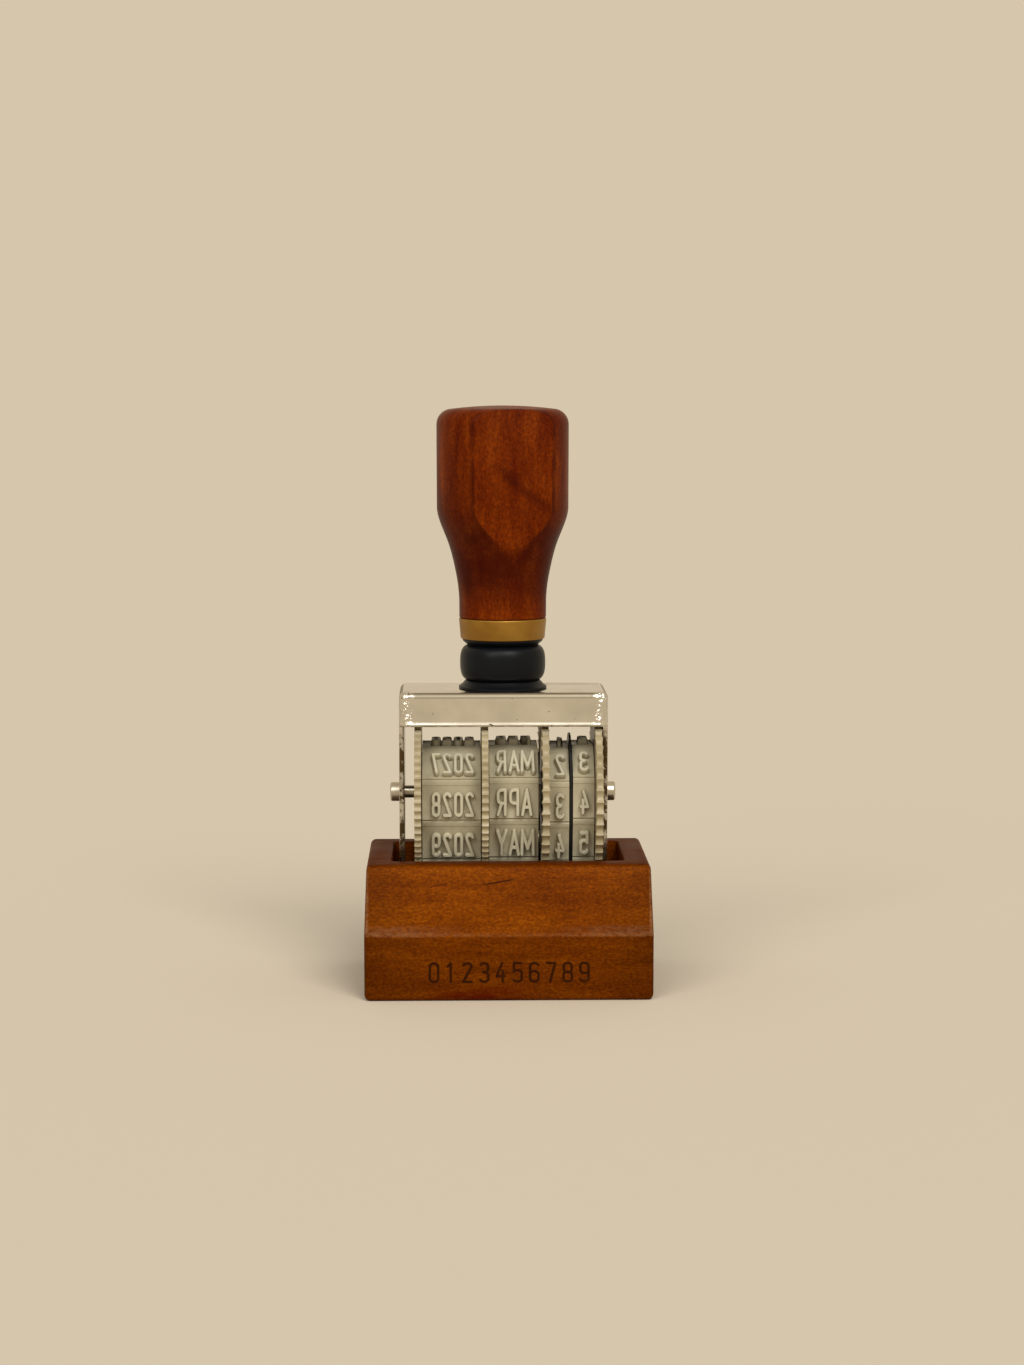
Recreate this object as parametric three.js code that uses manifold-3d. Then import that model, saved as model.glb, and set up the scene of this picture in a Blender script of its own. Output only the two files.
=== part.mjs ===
// A band date stamp standing in its wooden rest. Four rubber bands carry the year, the month and the two
// figures of the day. Each band runs over a drum on the axle and under the platen at the foot of the frame,
// and a toothed thumb wheel beside it turns the drum. The handle screws on through the top of the frame.
//
// X runs along the axle, Y from front (-Y) to back, Z up. The origin is the middle of the rest's underside.
// All lengths are in millimetres.
import * as THREE from 'three';
import { mergeVertices } from 'three/addons/utils/BufferGeometryUtils.js';
import Module from 'manifold-3d';

const wasm = await Module();
wasm.setup();

// Fits and working values
const SIDE_GAP = 0.15; // between neighbours along the axle
const SEAT_GAP = 0.05; // between faces that are clamped together
const FIT_GAP = 0.12; // round a pin, tab or spigot in its hole
const BORE_GAP = 0.1; // round the axle in a wheel, a drum or a leg
const OVERRUN = 1; // how far a cutter passes the face that it opens
const ROUND_STEPS = 48; // sides of a large turned piece
const SMALL_STEPS = 20; // sides of a pin, a bore or a screw
const CORNER_STEPS = 4; // steps in a quarter round
const CROWN_STEPS = 12; // steps in the divider's round top

// Bands
const PANEL_PITCH = 6.6; // one date position along the band
const DRUM_SIDES = 8; // panels that would go once round a drum
const STRAND_PANELS = 3; // panels between the drum and the platen, on each side
const BAND_THICKNESS = 1.3;
const GROOVE_DEPTH = 0.4; // crease between two panels
const GROOVE_WIDTH = 0.5;
const YEAR_BAND_WIDTH = 9.3;
const MONTH_BAND_WIDTH = 7.8;
const TENS_BAND_WIDTH = 3.1;
const UNITS_BAND_WIDTH = 3.4;
const TYPE_HEIGHT = 0.9; // room kept for the raised figures of the bands

// Thumb wheels and drums
const WHEEL_RADIUS = 13;
const WHEEL_THICKNESS = 1.05;
const FINE_TEETH = 64; // year and month wheels
const COARSE_TEETH = 44; // day wheels
const TOOTH_DEPTH = 0.55;
const TOOTH_TIP_SHARE = 0.52; // of a tooth's pitch
const TOOTH_ROOT_SHARE = 0.28;
const WHEEL_RIM = 1.6; // width of the raised rim inside the teeth
const WHEEL_HUB_RADIUS = 3.2;
const WHEEL_RECESS = 0.25; // depth of the dished face
const DRUM_GAP = 0.2; // between a rib and the flat of its band
const RIB_HEIGHT = 1.2;
const RIB_WIDTH = 1;
const RIB_STANDOUT = 0.45; // how far the month drum's ribs pass its band
const RIB_GAP_STEPS = 3; // steps in the core's arc between two ribs
const DIVIDER_THICKNESS = 0.3;
const DIVIDER_CROWN = 1.5; // how far the divider's round top stands above the bands
const DIVIDER_SETBACK = 0.6; // how far its edges lie behind the face of the bands
const DIVIDER_FOOT_MARGIN = 1.3; // material beside and below the platen

// Axle
const AXLE_RADIUS = 0.75;
const SHOULDER_RADIUS = 1;
const SHOULDER_LENGTH = 1.65; // keeps the left wheel off the leg
const RIVET_RADIUS = 1.53;
const RIVET_LENGTH = 1.5;
const RIVET_ROUND = 0.35;

// Frame
const SHEET = 0.8;
const CAP_DEPTH = 16;
const CAP_CORNER_RADIUS = 1.6;
const CAP_EDGE_RADIUS = 1;
const LIP_CLEARANCE = 0.5; // between the lip and the teeth
const LEG_FOOT_WIDTH = 9;
const LEG_FOOT_ROUND = 1.5;
const LEG_SETBACK = 0.8; // how far the legs end above the printing face
const PLATEN_HEIGHT = 4;
const PLATEN_ROUND = 0.6;
const RIDGE_SHARE = 0.75; // of the band's thickness, for the ridges between the bands
const TAB_HEIGHT = 2;
const TAB_WIDTH = 2.4;
const TAB_PROUD = 0.3;

// Handle and its screw
const SCREW_RADIUS = 1.6;
const SCREW_HEAD_RADIUS = 3;
const SCREW_HEAD_HEIGHT = 1.7;
const SCREW_HEAD_ROUND = 0.5;
const SCREW_SLOT_WIDTH = 0.7;
const SCREW_SLOT_DEPTH = 0.7;
const SCREW_HEADROOM = 0.75; // between the screw's head and the wheels
const SCREW_REACH = 14; // length in the wood above the ferrule
const SCREW_POINT = 3;
const WASHER_RADIUS = 4.2;
const WASHER_THICKNESS = 0.5;
const COLLAR_NECK_RADIUS = 6;
const COLLAR_FOOT_HEIGHT = 1;
const COLLAR_BEAD_HEIGHT = 5.8;
const COLLAR_NECK_HEIGHT = 1.1;
const COLLAR_BEAD_RADIUS = 6.75;
const COLLAR_BEAD_BULGE = 1.55;
const BEAD_STEPS = 8;
const FERRULE_HEIGHT = 3.3;
const FERRULE_TOP_RADIUS = 7;
const FERRULE_FOOT_RADIUS = 6.75;
const FERRULE_WALL = 0.45;
const STEM_RADIUS = 6.95;
const STEM_STRAIGHT = 2.9;
const FLARE_LENGTH = 14.6;
const GRIP_RADIUS = 10.55;
const GRIP_LENGTH = 33.8; // from the ferrule to the top
const GRIP_TOP_RADIUS = 2.5;
const FLAT_DISTANCE = 8.55; // from the handle's middle to a thumb flat
const FLAT_TURN = THREE.MathUtils.degToRad(10.5);
// The flare's outline: shares of its length, and of the step from the stem's radius to the grip's.
const FLARE_SHARES = [
  [0, 0], [0.12, 0.035], [0.22, 0.09], [0.32, 0.17], [0.43, 0.265], [0.54, 0.375], [0.65, 0.52],
  [0.76, 0.71], [0.87, 0.885], [0.95, 0.975], [1, 1],
];

// Wooden rest
const STAMP_SHIFT = -0.7; // the stamp stands a little to the left in its loose pocket
const REST_FLOOR = 7.2; // wood under the pocket
const REST_HEIGHT = 21.2;
const REST_FACE_HEIGHT = 10.25; // upright part of the front
const REST_END_WALL = 4.25;
const REST_SIDE_WALL = 3.7; // at the top edge
const REST_SLOPE_RUN = 2.8; // how far the front leans back above its upright part
const REST_EDGE_RADIUS = 1.2;
const REST_END_BEVEL = 0.7;
const POCKET_SIDE_ROOM = 1.9; // beside the legs
const POCKET_FACE_ROOM = 0.9; // in front of and behind the wheels
const POCKET_CORNER_RADIUS = 1;
const TYPE_SEAT_GAP = 0.3; // under the raised figures

// Heights, from the pocket's floor up
const printZ = REST_FLOOR + TYPE_SEAT_GAP + TYPE_HEIGHT; // face of the panel that prints
const halfPitch = PANEL_PITCH / 2;
const bandApothem = halfPitch / Math.tan(Math.PI / DRUM_SIDES);
const strandLength = STRAND_PANELS * PANEL_PITCH;
const strandLean = Math.asin((bandApothem - halfPitch) / strandLength);
const axleZ = printZ + strandLength * Math.cos(strandLean) + halfPitch;
const screwHeadZ = axleZ + WHEEL_RADIUS + SCREW_HEADROOM;
const washerZ = screwHeadZ + SCREW_HEAD_HEIGHT + SEAT_GAP;
const ceilingZ = washerZ + WASHER_THICKNESS + SEAT_GAP;
const capTopZ = ceilingZ + SHEET;
const capInnerY = CAP_DEPTH / 2 - SHEET;
const lipZ = axleZ + Math.sqrt((WHEEL_RADIUS + LIP_CLEARANCE) ** 2 - capInnerY ** 2);
const legFootZ = printZ + LEG_SETBACK;
const collarZ = capTopZ + SEAT_GAP;
const ferruleZ = collarZ + COLLAR_FOOT_HEIGHT + COLLAR_BEAD_HEIGHT + COLLAR_NECK_HEIGHT + SEAT_GAP;
const stemZ = ferruleZ + FERRULE_HEIGHT + SEAT_GAP;

// Places along the axle: every piece's width from the left leg to the right one, a side gap before each.
const AXLE_STACK = [
  ['shoulder', SHOULDER_LENGTH - SIDE_GAP * 2],
  ['yearWheel', WHEEL_THICKNESS], ['yearBand', YEAR_BAND_WIDTH],
  ['monthWheel', WHEEL_THICKNESS], ['monthBand', MONTH_BAND_WIDTH], ['standout', RIB_STANDOUT - SIDE_GAP],
  ['tensWheel', WHEEL_THICKNESS], ['tensBand', TENS_BAND_WIDTH],
  ['divider', DIVIDER_THICKNESS],
  ['unitsBand', UNITS_BAND_WIDTH], ['unitsWheel', WHEEL_THICKNESS],
];
const stackWidth = AXLE_STACK.reduce((sum, [, width]) => sum + width + SIDE_GAP, SIDE_GAP);
const innerX = stackWidth / 2; // inner face of a leg
const outerX = innerX + SHEET;
const place = {};
let nextX = SIDE_GAP - innerX;
for (const [name, width] of AXLE_STACK) {
  place[name] = { from: nextX, to: nextX + width };
  nextX += width + SIDE_GAP;
}

// Materials
const MATERIALS = {
  restWood: ['#9a4a16', 0.45, 0],
  gripWood: ['#7d2c0c', 0.38, 0],
  brass: ['#c9a052', 0.35, 0.85],
  blackPlastic: ['#14151b', 0.22, 0],
  chrome: ['#d9d6d0', 0.12, 1],
  steel: ['#a9a7a1', 0.35, 1],
  ivoryPlastic: ['#e2d3ab', 0.45, 0],
  paleNylon: ['#c9c8c2', 0.5, 0],
  greyRubber: ['#8e8a80', 0.6, 0],
};

function material(name) {
  const [color, roughness, metalness] = MATERIALS[name];
  return new THREE.MeshStandardMaterial({ name, color, roughness, metalness });
}

// A closed geometry as a solid for cutting and joining.
function solidOf(geometry) {
  const bare = geometry.clone();
  bare.deleteAttribute('normal');
  bare.deleteAttribute('uv');
  const merged = mergeVertices(bare);
  return new wasm.Manifold(new wasm.Mesh({
    numProp: 3,
    vertProperties: merged.attributes.position.array,
    triVerts: new Uint32Array(merged.index.array),
  }));
}

function geometryOf(solid) {
  const mesh = solid.getMesh();
  return new THREE.BufferGeometry()
    .setAttribute('position', new THREE.BufferAttribute(new Float32Array(mesh.vertProperties), 3))
    .setIndex(new THREE.BufferAttribute(new Uint32Array(mesh.triVerts), 1))
    .toNonIndexed();
}

const X = new THREE.Vector3(1, 0, 0);
const Y = new THREE.Vector3(0, 1, 0);
const Z = new THREE.Vector3(0, 0, 1);

// An outline drawn in Y and Z, given width along X. A bevel rounds both ends inside the outline.
function alongX(outline, from, to, bevel = 0) {
  const geometry = new THREE.ExtrudeGeometry(outline, {
    depth: to - from - 2 * bevel,
    bevelEnabled: bevel > 0, bevelSize: bevel, bevelThickness: bevel, bevelOffset: -bevel, bevelSegments: 2,
  });
  return geometry.translate(0, 0, from + bevel).applyMatrix4(new THREE.Matrix4().makeBasis(Y, Z, X));
}

// An outline drawn in X and Y, given height along Z.
function upward(outline, from, to, bevel = 0) {
  const geometry = new THREE.ExtrudeGeometry(outline, {
    depth: to - from - 2 * bevel,
    bevelEnabled: bevel > 0, bevelSize: bevel, bevelThickness: bevel, bevelOffset: -bevel, bevelSegments: 3,
  });
  return geometry.translate(0, 0, from + bevel);
}

// A profile of [radius, height] points, listed up the outside, turned about Z.
function turned(profile, steps = ROUND_STEPS) {
  const points = profile.map(([radius, height]) => new THREE.Vector2(radius, height));
  return new THREE.LatheGeometry(points, steps).rotateX(Math.PI / 2);
}

// The same about the axle: the profile's heights run along X.
function turnedAboutAxle(profile, steps = SMALL_STEPS) {
  return turned(profile, steps).rotateY(Math.PI / 2).translate(0, 0, axleZ);
}

// A tube's closed profile about its axis.
function ring(inner, outer, from, to) {
  return [[inner, from], [outer, from], [outer, to], [inner, to], [inner, from]];
}

function rod(radius, from, to) {
  return [[0, from], [radius, from], [radius, to], [0, to]];
}

// A polygon whose corners are rounded. Each corner is [x, y, radius].
function roundedShape(corners) {
  const points = [];
  corners.forEach(([x, y, radius], i) => {
    const here = new THREE.Vector2(x, y);
    if (!radius) {
      points.push(here);
      return;
    }
    const [px, py] = corners[(i + corners.length - 1) % corners.length];
    const [nx, ny] = corners[(i + 1) % corners.length];
    const back = new THREE.Vector2(px, py).sub(here).normalize();
    const ahead = new THREE.Vector2(nx, ny).sub(here).normalize();
    const half = Math.acos(THREE.MathUtils.clamp(back.dot(ahead), -1, 1)) / 2;
    const centre = back.clone().add(ahead).normalize().multiplyScalar(radius / Math.sin(half)).add(here);
    const start = here.clone().addScaledVector(back, radius / Math.tan(half)).sub(centre);
    const turn = Math.sign(ahead.cross(back)) * (Math.PI - 2 * half);
    for (let step = 0; step <= CORNER_STEPS; step++) {
      const angle = (turn * step) / CORNER_STEPS;
      points.push(start.clone().rotateAround(new THREE.Vector2(), angle).add(centre));
    }
  });
  return new THREE.Shape(points);
}

function roundedRectangle(halfWidth, halfHeight, radius) {
  return roundedShape([
    [-halfWidth, -halfHeight, radius], [halfWidth, -halfHeight, radius],
    [halfWidth, halfHeight, radius], [-halfWidth, halfHeight, radius],
  ]);
}

function circle(radius, steps = SMALL_STEPS) {
  const points = [];
  for (let i = 0; i < steps; i++) {
    const angle = (i / steps) * 2 * Math.PI;
    points.push(new THREE.Vector2(radius * Math.cos(angle), radius * Math.sin(angle)));
  }
  return points;
}

// The corners of a band's face in Y and Z about the axle, from the upright front panel down and round.
function bandCorners() {
  const printY = halfPitch;
  const drop = axleZ - printZ;
  const corners = [];
  const frontTop = new THREE.Vector2(-bandApothem, halfPitch);
  const frontFoot = new THREE.Vector2(-bandApothem, -halfPitch);
  const platenFront = new THREE.Vector2(-printY, -drop);
  corners.push(frontTop);
  for (let i = 0; i <= STRAND_PANELS; i++) {
    corners.push(frontFoot.clone().lerp(platenFront, i / STRAND_PANELS));
  }
  const back = corners.slice().reverse().map((corner) => new THREE.Vector2(-corner.x, corner.y));
  corners.push(...back);
  const overDrum = DRUM_SIDES / 2 - 1; // panels over the top, between the two upright ones
  for (let i = 1; i < overDrum; i++) {
    const angle = Math.PI / DRUM_SIDES + (i * 2 * Math.PI) / DRUM_SIDES;
    const radius = bandApothem / Math.cos(Math.PI / DRUM_SIDES);
    corners.push(new THREE.Vector2(radius * Math.cos(angle), radius * Math.sin(angle)));
  }
  return corners;
}

// The bisector that points into the loop at a corner, scaled so that the walls keep their thickness.
function inwardStep(corners, i) {
  const here = corners[i];
  const before = corners[(i + corners.length - 1) % corners.length];
  const after = corners[(i + 1) % corners.length];
  const along = here.clone().sub(before).normalize();
  const onward = after.clone().sub(here).normalize();
  const normal = new THREE.Vector2(-along.y - onward.y, along.x + onward.x).normalize();
  const facing = new THREE.Vector2(-along.y, along.x).dot(normal);
  return normal.divideScalar(facing);
}

// A rubber band: flat panels joined by creases, on the loop round its drum and the platen.
function bandGeometry({ from, to }) {
  const corners = bandCorners();
  const face = [];
  const lining = [];
  corners.forEach((corner, i) => {
    const before = corners[(i + corners.length - 1) % corners.length];
    const after = corners[(i + 1) % corners.length];
    const inward = inwardStep(corners, i);
    face.push(corner.clone().add(before.clone().sub(corner).setLength(GROOVE_WIDTH / 2)));
    face.push(corner.clone().addScaledVector(inward, GROOVE_DEPTH));
    face.push(corner.clone().add(after.clone().sub(corner).setLength(GROOVE_WIDTH / 2)));
    lining.push(corner.clone().addScaledVector(inward, BAND_THICKNESS));
  });
  const outline = new THREE.Shape(face);
  outline.holes.push(new THREE.Path(lining.reverse()));
  return alongX(outline, from, to).translate(0, 0, axleZ);
}

// A thumb wheel: a toothed disc, dished on the side away from its drum (side is -1 for the left face).
function wheelGeometry({ from, to }, teeth, side) {
  const points = [];
  const pitch = (2 * Math.PI) / teeth;
  const root = WHEEL_RADIUS - TOOTH_DEPTH;
  for (let i = 0; i < teeth; i++) {
    const marks = [
      [root, -TOOTH_ROOT_SHARE / 2], [root, TOOTH_ROOT_SHARE / 2],
      [WHEEL_RADIUS, (1 - TOOTH_TIP_SHARE) / 2], [WHEEL_RADIUS, (1 + TOOTH_TIP_SHARE) / 2],
    ];
    for (const [radius, share] of marks) {
      const angle = (i + share) * pitch;
      points.push(new THREE.Vector2(radius * Math.cos(angle), radius * Math.sin(angle)));
    }
  }
  const disc = solidOf(alongX(new THREE.Shape(points), from, to).translate(0, 0, axleZ));
  const bore = solidOf(turnedAboutAxle(rod(AXLE_RADIUS + BORE_GAP, from - OVERRUN, to + OVERRUN)));
  const face = side < 0 ? [from - OVERRUN, from + WHEEL_RECESS] : [to - WHEEL_RECESS, to + OVERRUN];
  const dish = ring(WHEEL_HUB_RADIUS, root - WHEEL_RIM, ...face);
  return geometryOf(disc.subtract(bore).subtract(solidOf(turnedAboutAxle(dish, ROUND_STEPS))));
}

// A drum: a core with one rib for each crease of the band, bored for the axle.
function drumGeometry(from, to) {
  const tip = bandApothem - BAND_THICKNESS - DRUM_GAP;
  const core = tip - RIB_HEIGHT;
  const points = [];
  for (let i = 0; i < DRUM_SIDES; i++) {
    const middle = ((i + 1 / 2) * 2 * Math.PI) / DRUM_SIDES;
    const tipAngle = Math.asin(RIB_WIDTH / 2 / tip);
    const footAngle = Math.asin(RIB_WIDTH / 2 / core);
    const openAngle = (2 * Math.PI) / DRUM_SIDES - 2 * footAngle;
    const marks = [[core, -footAngle], [tip, -tipAngle], [tip, tipAngle]];
    for (let step = 0; step < RIB_GAP_STEPS; step++) {
      marks.push([core, footAngle + (openAngle * step) / RIB_GAP_STEPS]);
    }
    for (const [radius, angle] of marks) {
      points.push(new THREE.Vector2(radius * Math.cos(middle + angle), radius * Math.sin(middle + angle)));
    }
  }
  const outline = new THREE.Shape(points);
  outline.holes.push(new THREE.Path(circle(AXLE_RADIUS + BORE_GAP)));
  return alongX(outline, from, to).translate(0, 0, axleZ);
}

// The shouldered axle, with a formed head at each end.
function axleGeometry() {
  const leftHead = -outerX - SEAT_GAP;
  const rightHead = outerX + SEAT_GAP;
  return turnedAboutAxle([
    [0, leftHead - RIVET_LENGTH], [RIVET_RADIUS - RIVET_ROUND, leftHead - RIVET_LENGTH],
    [RIVET_RADIUS, leftHead - RIVET_LENGTH + RIVET_ROUND], [RIVET_RADIUS, leftHead],
    [SHOULDER_RADIUS, leftHead], [SHOULDER_RADIUS, place.shoulder.to],
    [AXLE_RADIUS, place.shoulder.to], [AXLE_RADIUS, rightHead],
    [RIVET_RADIUS, rightHead], [RIVET_RADIUS, rightHead + RIVET_LENGTH - RIVET_ROUND],
    [RIVET_RADIUS - RIVET_ROUND, rightHead + RIVET_LENGTH], [0, rightHead + RIVET_LENGTH],
  ]);
}

// Half the platen's width: it fills the foot of the loop inside the band.
const platenHalfY = halfPitch - BAND_THICKNESS * (1 / Math.cos(strandLean) - Math.tan(strandLean)) - FIT_GAP;
const platenZ = printZ + BAND_THICKNESS + FIT_GAP;
const tabZ = platenZ + PLATEN_HEIGHT / 2;

// The platen: a bar under the bands, ridges that keep them apart, and a tab through each leg.
function platenGeometry() {
  const barX = innerX - SIDE_GAP;
  const bar = roundedShape([
    [-platenHalfY, platenZ, PLATEN_ROUND], [platenHalfY, platenZ, PLATEN_ROUND],
    [platenHalfY, platenZ + PLATEN_HEIGHT, 0], [-platenHalfY, platenZ + PLATEN_HEIGHT, 0],
  ]);
  const ridgeHeight = BAND_THICKNESS * RIDGE_SHARE;
  const ridgeY = platenHalfY + ridgeHeight;
  const ridge = roundedShape([
    [-ridgeY, platenZ - ridgeHeight, PLATEN_ROUND], [ridgeY, platenZ - ridgeHeight, PLATEN_ROUND],
    [ridgeY, platenZ + PLATEN_HEIGHT / 2, 0], [-ridgeY, platenZ + PLATEN_HEIGHT / 2, 0],
  ]);
  const tab = roundedShape([
    [-TAB_WIDTH / 2, tabZ - TAB_HEIGHT / 2, 0], [TAB_WIDTH / 2, tabZ - TAB_HEIGHT / 2, 0],
    [TAB_WIDTH / 2, tabZ + TAB_HEIGHT / 2, 0], [-TAB_WIDTH / 2, tabZ + TAB_HEIGHT / 2, 0],
  ]);
  const ridges = [
    [-barX, place.yearBand.from - SIDE_GAP],
    [place.yearBand.to + SIDE_GAP, place.monthBand.from - SIDE_GAP],
    [place.monthBand.to + SIDE_GAP, place.tensBand.from - SIDE_GAP],
    [place.unitsBand.to + SIDE_GAP, barX],
  ];
  let platen = solidOf(alongX(bar, -barX, barX));
  for (const [from, to] of ridges) platen = platen.add(solidOf(alongX(ridge, from, to)));
  return geometryOf(platen.add(solidOf(alongX(tab, -outerX - TAB_PROUD, outerX + TAB_PROUD))));
}

// The divider between the two day bands: it hangs on the axle and straddles the platen.
function dividerGeometry({ from, to }) {
  const crown = bandApothem + DIVIDER_CROWN;
  const halfY = bandApothem - DIVIDER_SETBACK;
  const footY = platenHalfY + FIT_GAP + DIVIDER_FOOT_MARGIN;
  const start = Math.acos(halfY / crown);
  const points = [];
  for (let i = 0; i <= CROWN_STEPS; i++) {
    const angle = start + ((Math.PI - 2 * start) * i) / CROWN_STEPS;
    points.push(new THREE.Vector2(crown * Math.cos(angle), axleZ + crown * Math.sin(angle)));
  }
  points.push(new THREE.Vector2(-halfY, axleZ - halfPitch), new THREE.Vector2(-footY, legFootZ));
  points.push(new THREE.Vector2(footY, legFootZ), new THREE.Vector2(halfY, axleZ - halfPitch));
  const plate = solidOf(alongX(new THREE.Shape(points), from, to));
  const notchY = platenHalfY + FIT_GAP;
  const notchTop = platenZ + PLATEN_HEIGHT + FIT_GAP;
  const notch = roundedShape([
    [-notchY, legFootZ - OVERRUN, 0], [notchY, legFootZ - OVERRUN, 0], [notchY, notchTop, 0], [-notchY, notchTop, 0],
  ]);
  const cut = solidOf(alongX(notch, from - OVERRUN, to + OVERRUN));
  const bore = solidOf(turnedAboutAxle(rod(AXLE_RADIUS + BORE_GAP, from - OVERRUN, to + OVERRUN)));
  return geometryOf(plate.subtract(cut).subtract(bore));
}

// The frame: a drawn cap with a lip all round, and a leg on each side.
function frameGeometry() {
  const block = solidOf(upward(
    roundedRectangle(outerX, CAP_DEPTH / 2, CAP_CORNER_RADIUS), lipZ - OVERRUN * 2, capTopZ, CAP_EDGE_RADIUS));
  const inside = solidOf(upward(
    roundedRectangle(innerX, capInnerY, CAP_CORNER_RADIUS - SHEET), lipZ - OVERRUN * 3, ceilingZ));
  const below = roundedRectangle(outerX + OVERRUN, CAP_DEPTH / 2 + OVERRUN, 0);
  let frame = block.subtract(inside).subtract(solidOf(upward(below, lipZ - OVERRUN * 3, lipZ)));
  const legY = CAP_DEPTH / 2 - CAP_CORNER_RADIUS;
  const leg = roundedShape([
    [-LEG_FOOT_WIDTH / 2, legFootZ, LEG_FOOT_ROUND], [LEG_FOOT_WIDTH / 2, legFootZ, LEG_FOOT_ROUND],
    [legY, axleZ, 0], [legY, ceilingZ - SHEET, 0], [-legY, ceilingZ - SHEET, 0], [-legY, axleZ, 0],
  ]);
  const slot = roundedShape([
    [-TAB_WIDTH / 2 - FIT_GAP, tabZ - TAB_HEIGHT / 2 - FIT_GAP, 0],
    [TAB_WIDTH / 2 + FIT_GAP, tabZ - TAB_HEIGHT / 2 - FIT_GAP, 0],
    [TAB_WIDTH / 2 + FIT_GAP, tabZ + TAB_HEIGHT / 2 + FIT_GAP, 0],
    [-TAB_WIDTH / 2 - FIT_GAP, tabZ + TAB_HEIGHT / 2 + FIT_GAP, 0],
  ]);
  frame = frame.add(solidOf(alongX(leg, -outerX, -innerX))).add(solidOf(alongX(leg, innerX, outerX)));
  const cutX = outerX + OVERRUN;
  frame = frame.subtract(solidOf(alongX(slot, -cutX, cutX)));
  frame = frame.subtract(solidOf(turnedAboutAxle(rod(SHOULDER_RADIUS + BORE_GAP, -cutX, 0))));
  frame = frame.subtract(solidOf(turnedAboutAxle(rod(AXLE_RADIUS + BORE_GAP, -OVERRUN, cutX))));
  const screwHole = rod(SCREW_RADIUS + FIT_GAP, ceilingZ - OVERRUN, capTopZ + OVERRUN);
  return geometryOf(frame.subtract(solidOf(turned(screwHole, SMALL_STEPS))));
}

// The screw that draws the handle and its collar down on the frame, slotted on its underside.
function screwGeometry() {
  const headTop = screwHeadZ + SCREW_HEAD_HEIGHT;
  const tip = stemZ + SCREW_REACH;
  const body = solidOf(turned([
    [0, screwHeadZ], [SCREW_HEAD_RADIUS - SCREW_HEAD_ROUND, screwHeadZ],
    [SCREW_HEAD_RADIUS, screwHeadZ + SCREW_HEAD_ROUND], [SCREW_HEAD_RADIUS, headTop],
    [SCREW_RADIUS, headTop], [SCREW_RADIUS, tip - SCREW_POINT], [0, tip],
  ], SMALL_STEPS));
  const slot = roundedRectangle(SCREW_HEAD_RADIUS + OVERRUN, SCREW_SLOT_WIDTH / 2, 0);
  return geometryOf(body.subtract(solidOf(
    upward(slot, screwHeadZ - OVERRUN, screwHeadZ + SCREW_SLOT_DEPTH))));
}

function washerGeometry() {
  return turned(ring(SCREW_RADIUS + FIT_GAP, WASHER_RADIUS, washerZ, washerZ + WASHER_THICKNESS), SMALL_STEPS);
}

// The collar: a foot on the frame, a bead, and a neck under the ferrule.
function collarGeometry() {
  const bore = SCREW_RADIUS + FIT_GAP;
  const beadZ = collarZ + COLLAR_FOOT_HEIGHT;
  const beadTop = beadZ + COLLAR_BEAD_HEIGHT;
  const profile = [[bore, collarZ], [COLLAR_NECK_RADIUS, collarZ], [COLLAR_NECK_RADIUS, beadZ]];
  for (let i = 1; i < BEAD_STEPS; i++) {
    const angle = -Math.PI / 2 + (Math.PI * i) / BEAD_STEPS;
    profile.push([
      COLLAR_BEAD_RADIUS - COLLAR_BEAD_BULGE * (1 - Math.cos(angle)),
      beadZ + (COLLAR_BEAD_HEIGHT * (1 + Math.sin(angle))) / 2,
    ]);
  }
  const top = beadTop + COLLAR_NECK_HEIGHT;
  profile.push([COLLAR_NECK_RADIUS, beadTop], [COLLAR_NECK_RADIUS, top], [bore, top], [bore, collarZ]);
  return turned(profile);
}

function ferruleGeometry() {
  const inner = FERRULE_FOOT_RADIUS - FERRULE_WALL;
  const top = ferruleZ + FERRULE_HEIGHT;
  return turned([
    [inner, ferruleZ], [FERRULE_FOOT_RADIUS, ferruleZ], [FERRULE_TOP_RADIUS, top], [inner, top], [inner, ferruleZ],
  ]);
}

// The handle: a spigot in the ferrule, the stem, the flare, and a grip with two thumb flats.
function handleGeometry() {
  const spigot = FERRULE_FOOT_RADIUS - FERRULE_WALL - FIT_GAP;
  const top = stemZ + GRIP_LENGTH;
  const flareZ = stemZ + STEM_STRAIGHT;
  const profile = [[0, ferruleZ], [spigot, ferruleZ], [spigot, stemZ], [STEM_RADIUS, stemZ]];
  for (const [lengthShare, stepShare] of FLARE_SHARES) {
    profile.push([STEM_RADIUS + (GRIP_RADIUS - STEM_RADIUS) * stepShare, flareZ + FLARE_LENGTH * lengthShare]);
  }
  for (let i = 0; i <= CORNER_STEPS; i++) {
    const angle = (i / CORNER_STEPS) * (Math.PI / 2);
    profile.push([
      GRIP_RADIUS - GRIP_TOP_RADIUS * (1 - Math.cos(angle)), top - GRIP_TOP_RADIUS * (1 - Math.sin(angle)),
    ]);
  }
  profile.push([0, top]);
  const reach = GRIP_RADIUS + OVERRUN;
  const slab = upward(roundedRectangle(reach, FLAT_DISTANCE, 0), ferruleZ - OVERRUN, top + OVERRUN);
  const bore = rod(SCREW_RADIUS + FIT_GAP, ferruleZ - OVERRUN, stemZ + SCREW_REACH + FIT_GAP);
  return geometryOf(solidOf(turned(profile))
    .intersect(solidOf(slab.rotateZ(FLAT_TURN)))
    .subtract(solidOf(turned(bore, SMALL_STEPS))));
}

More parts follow.
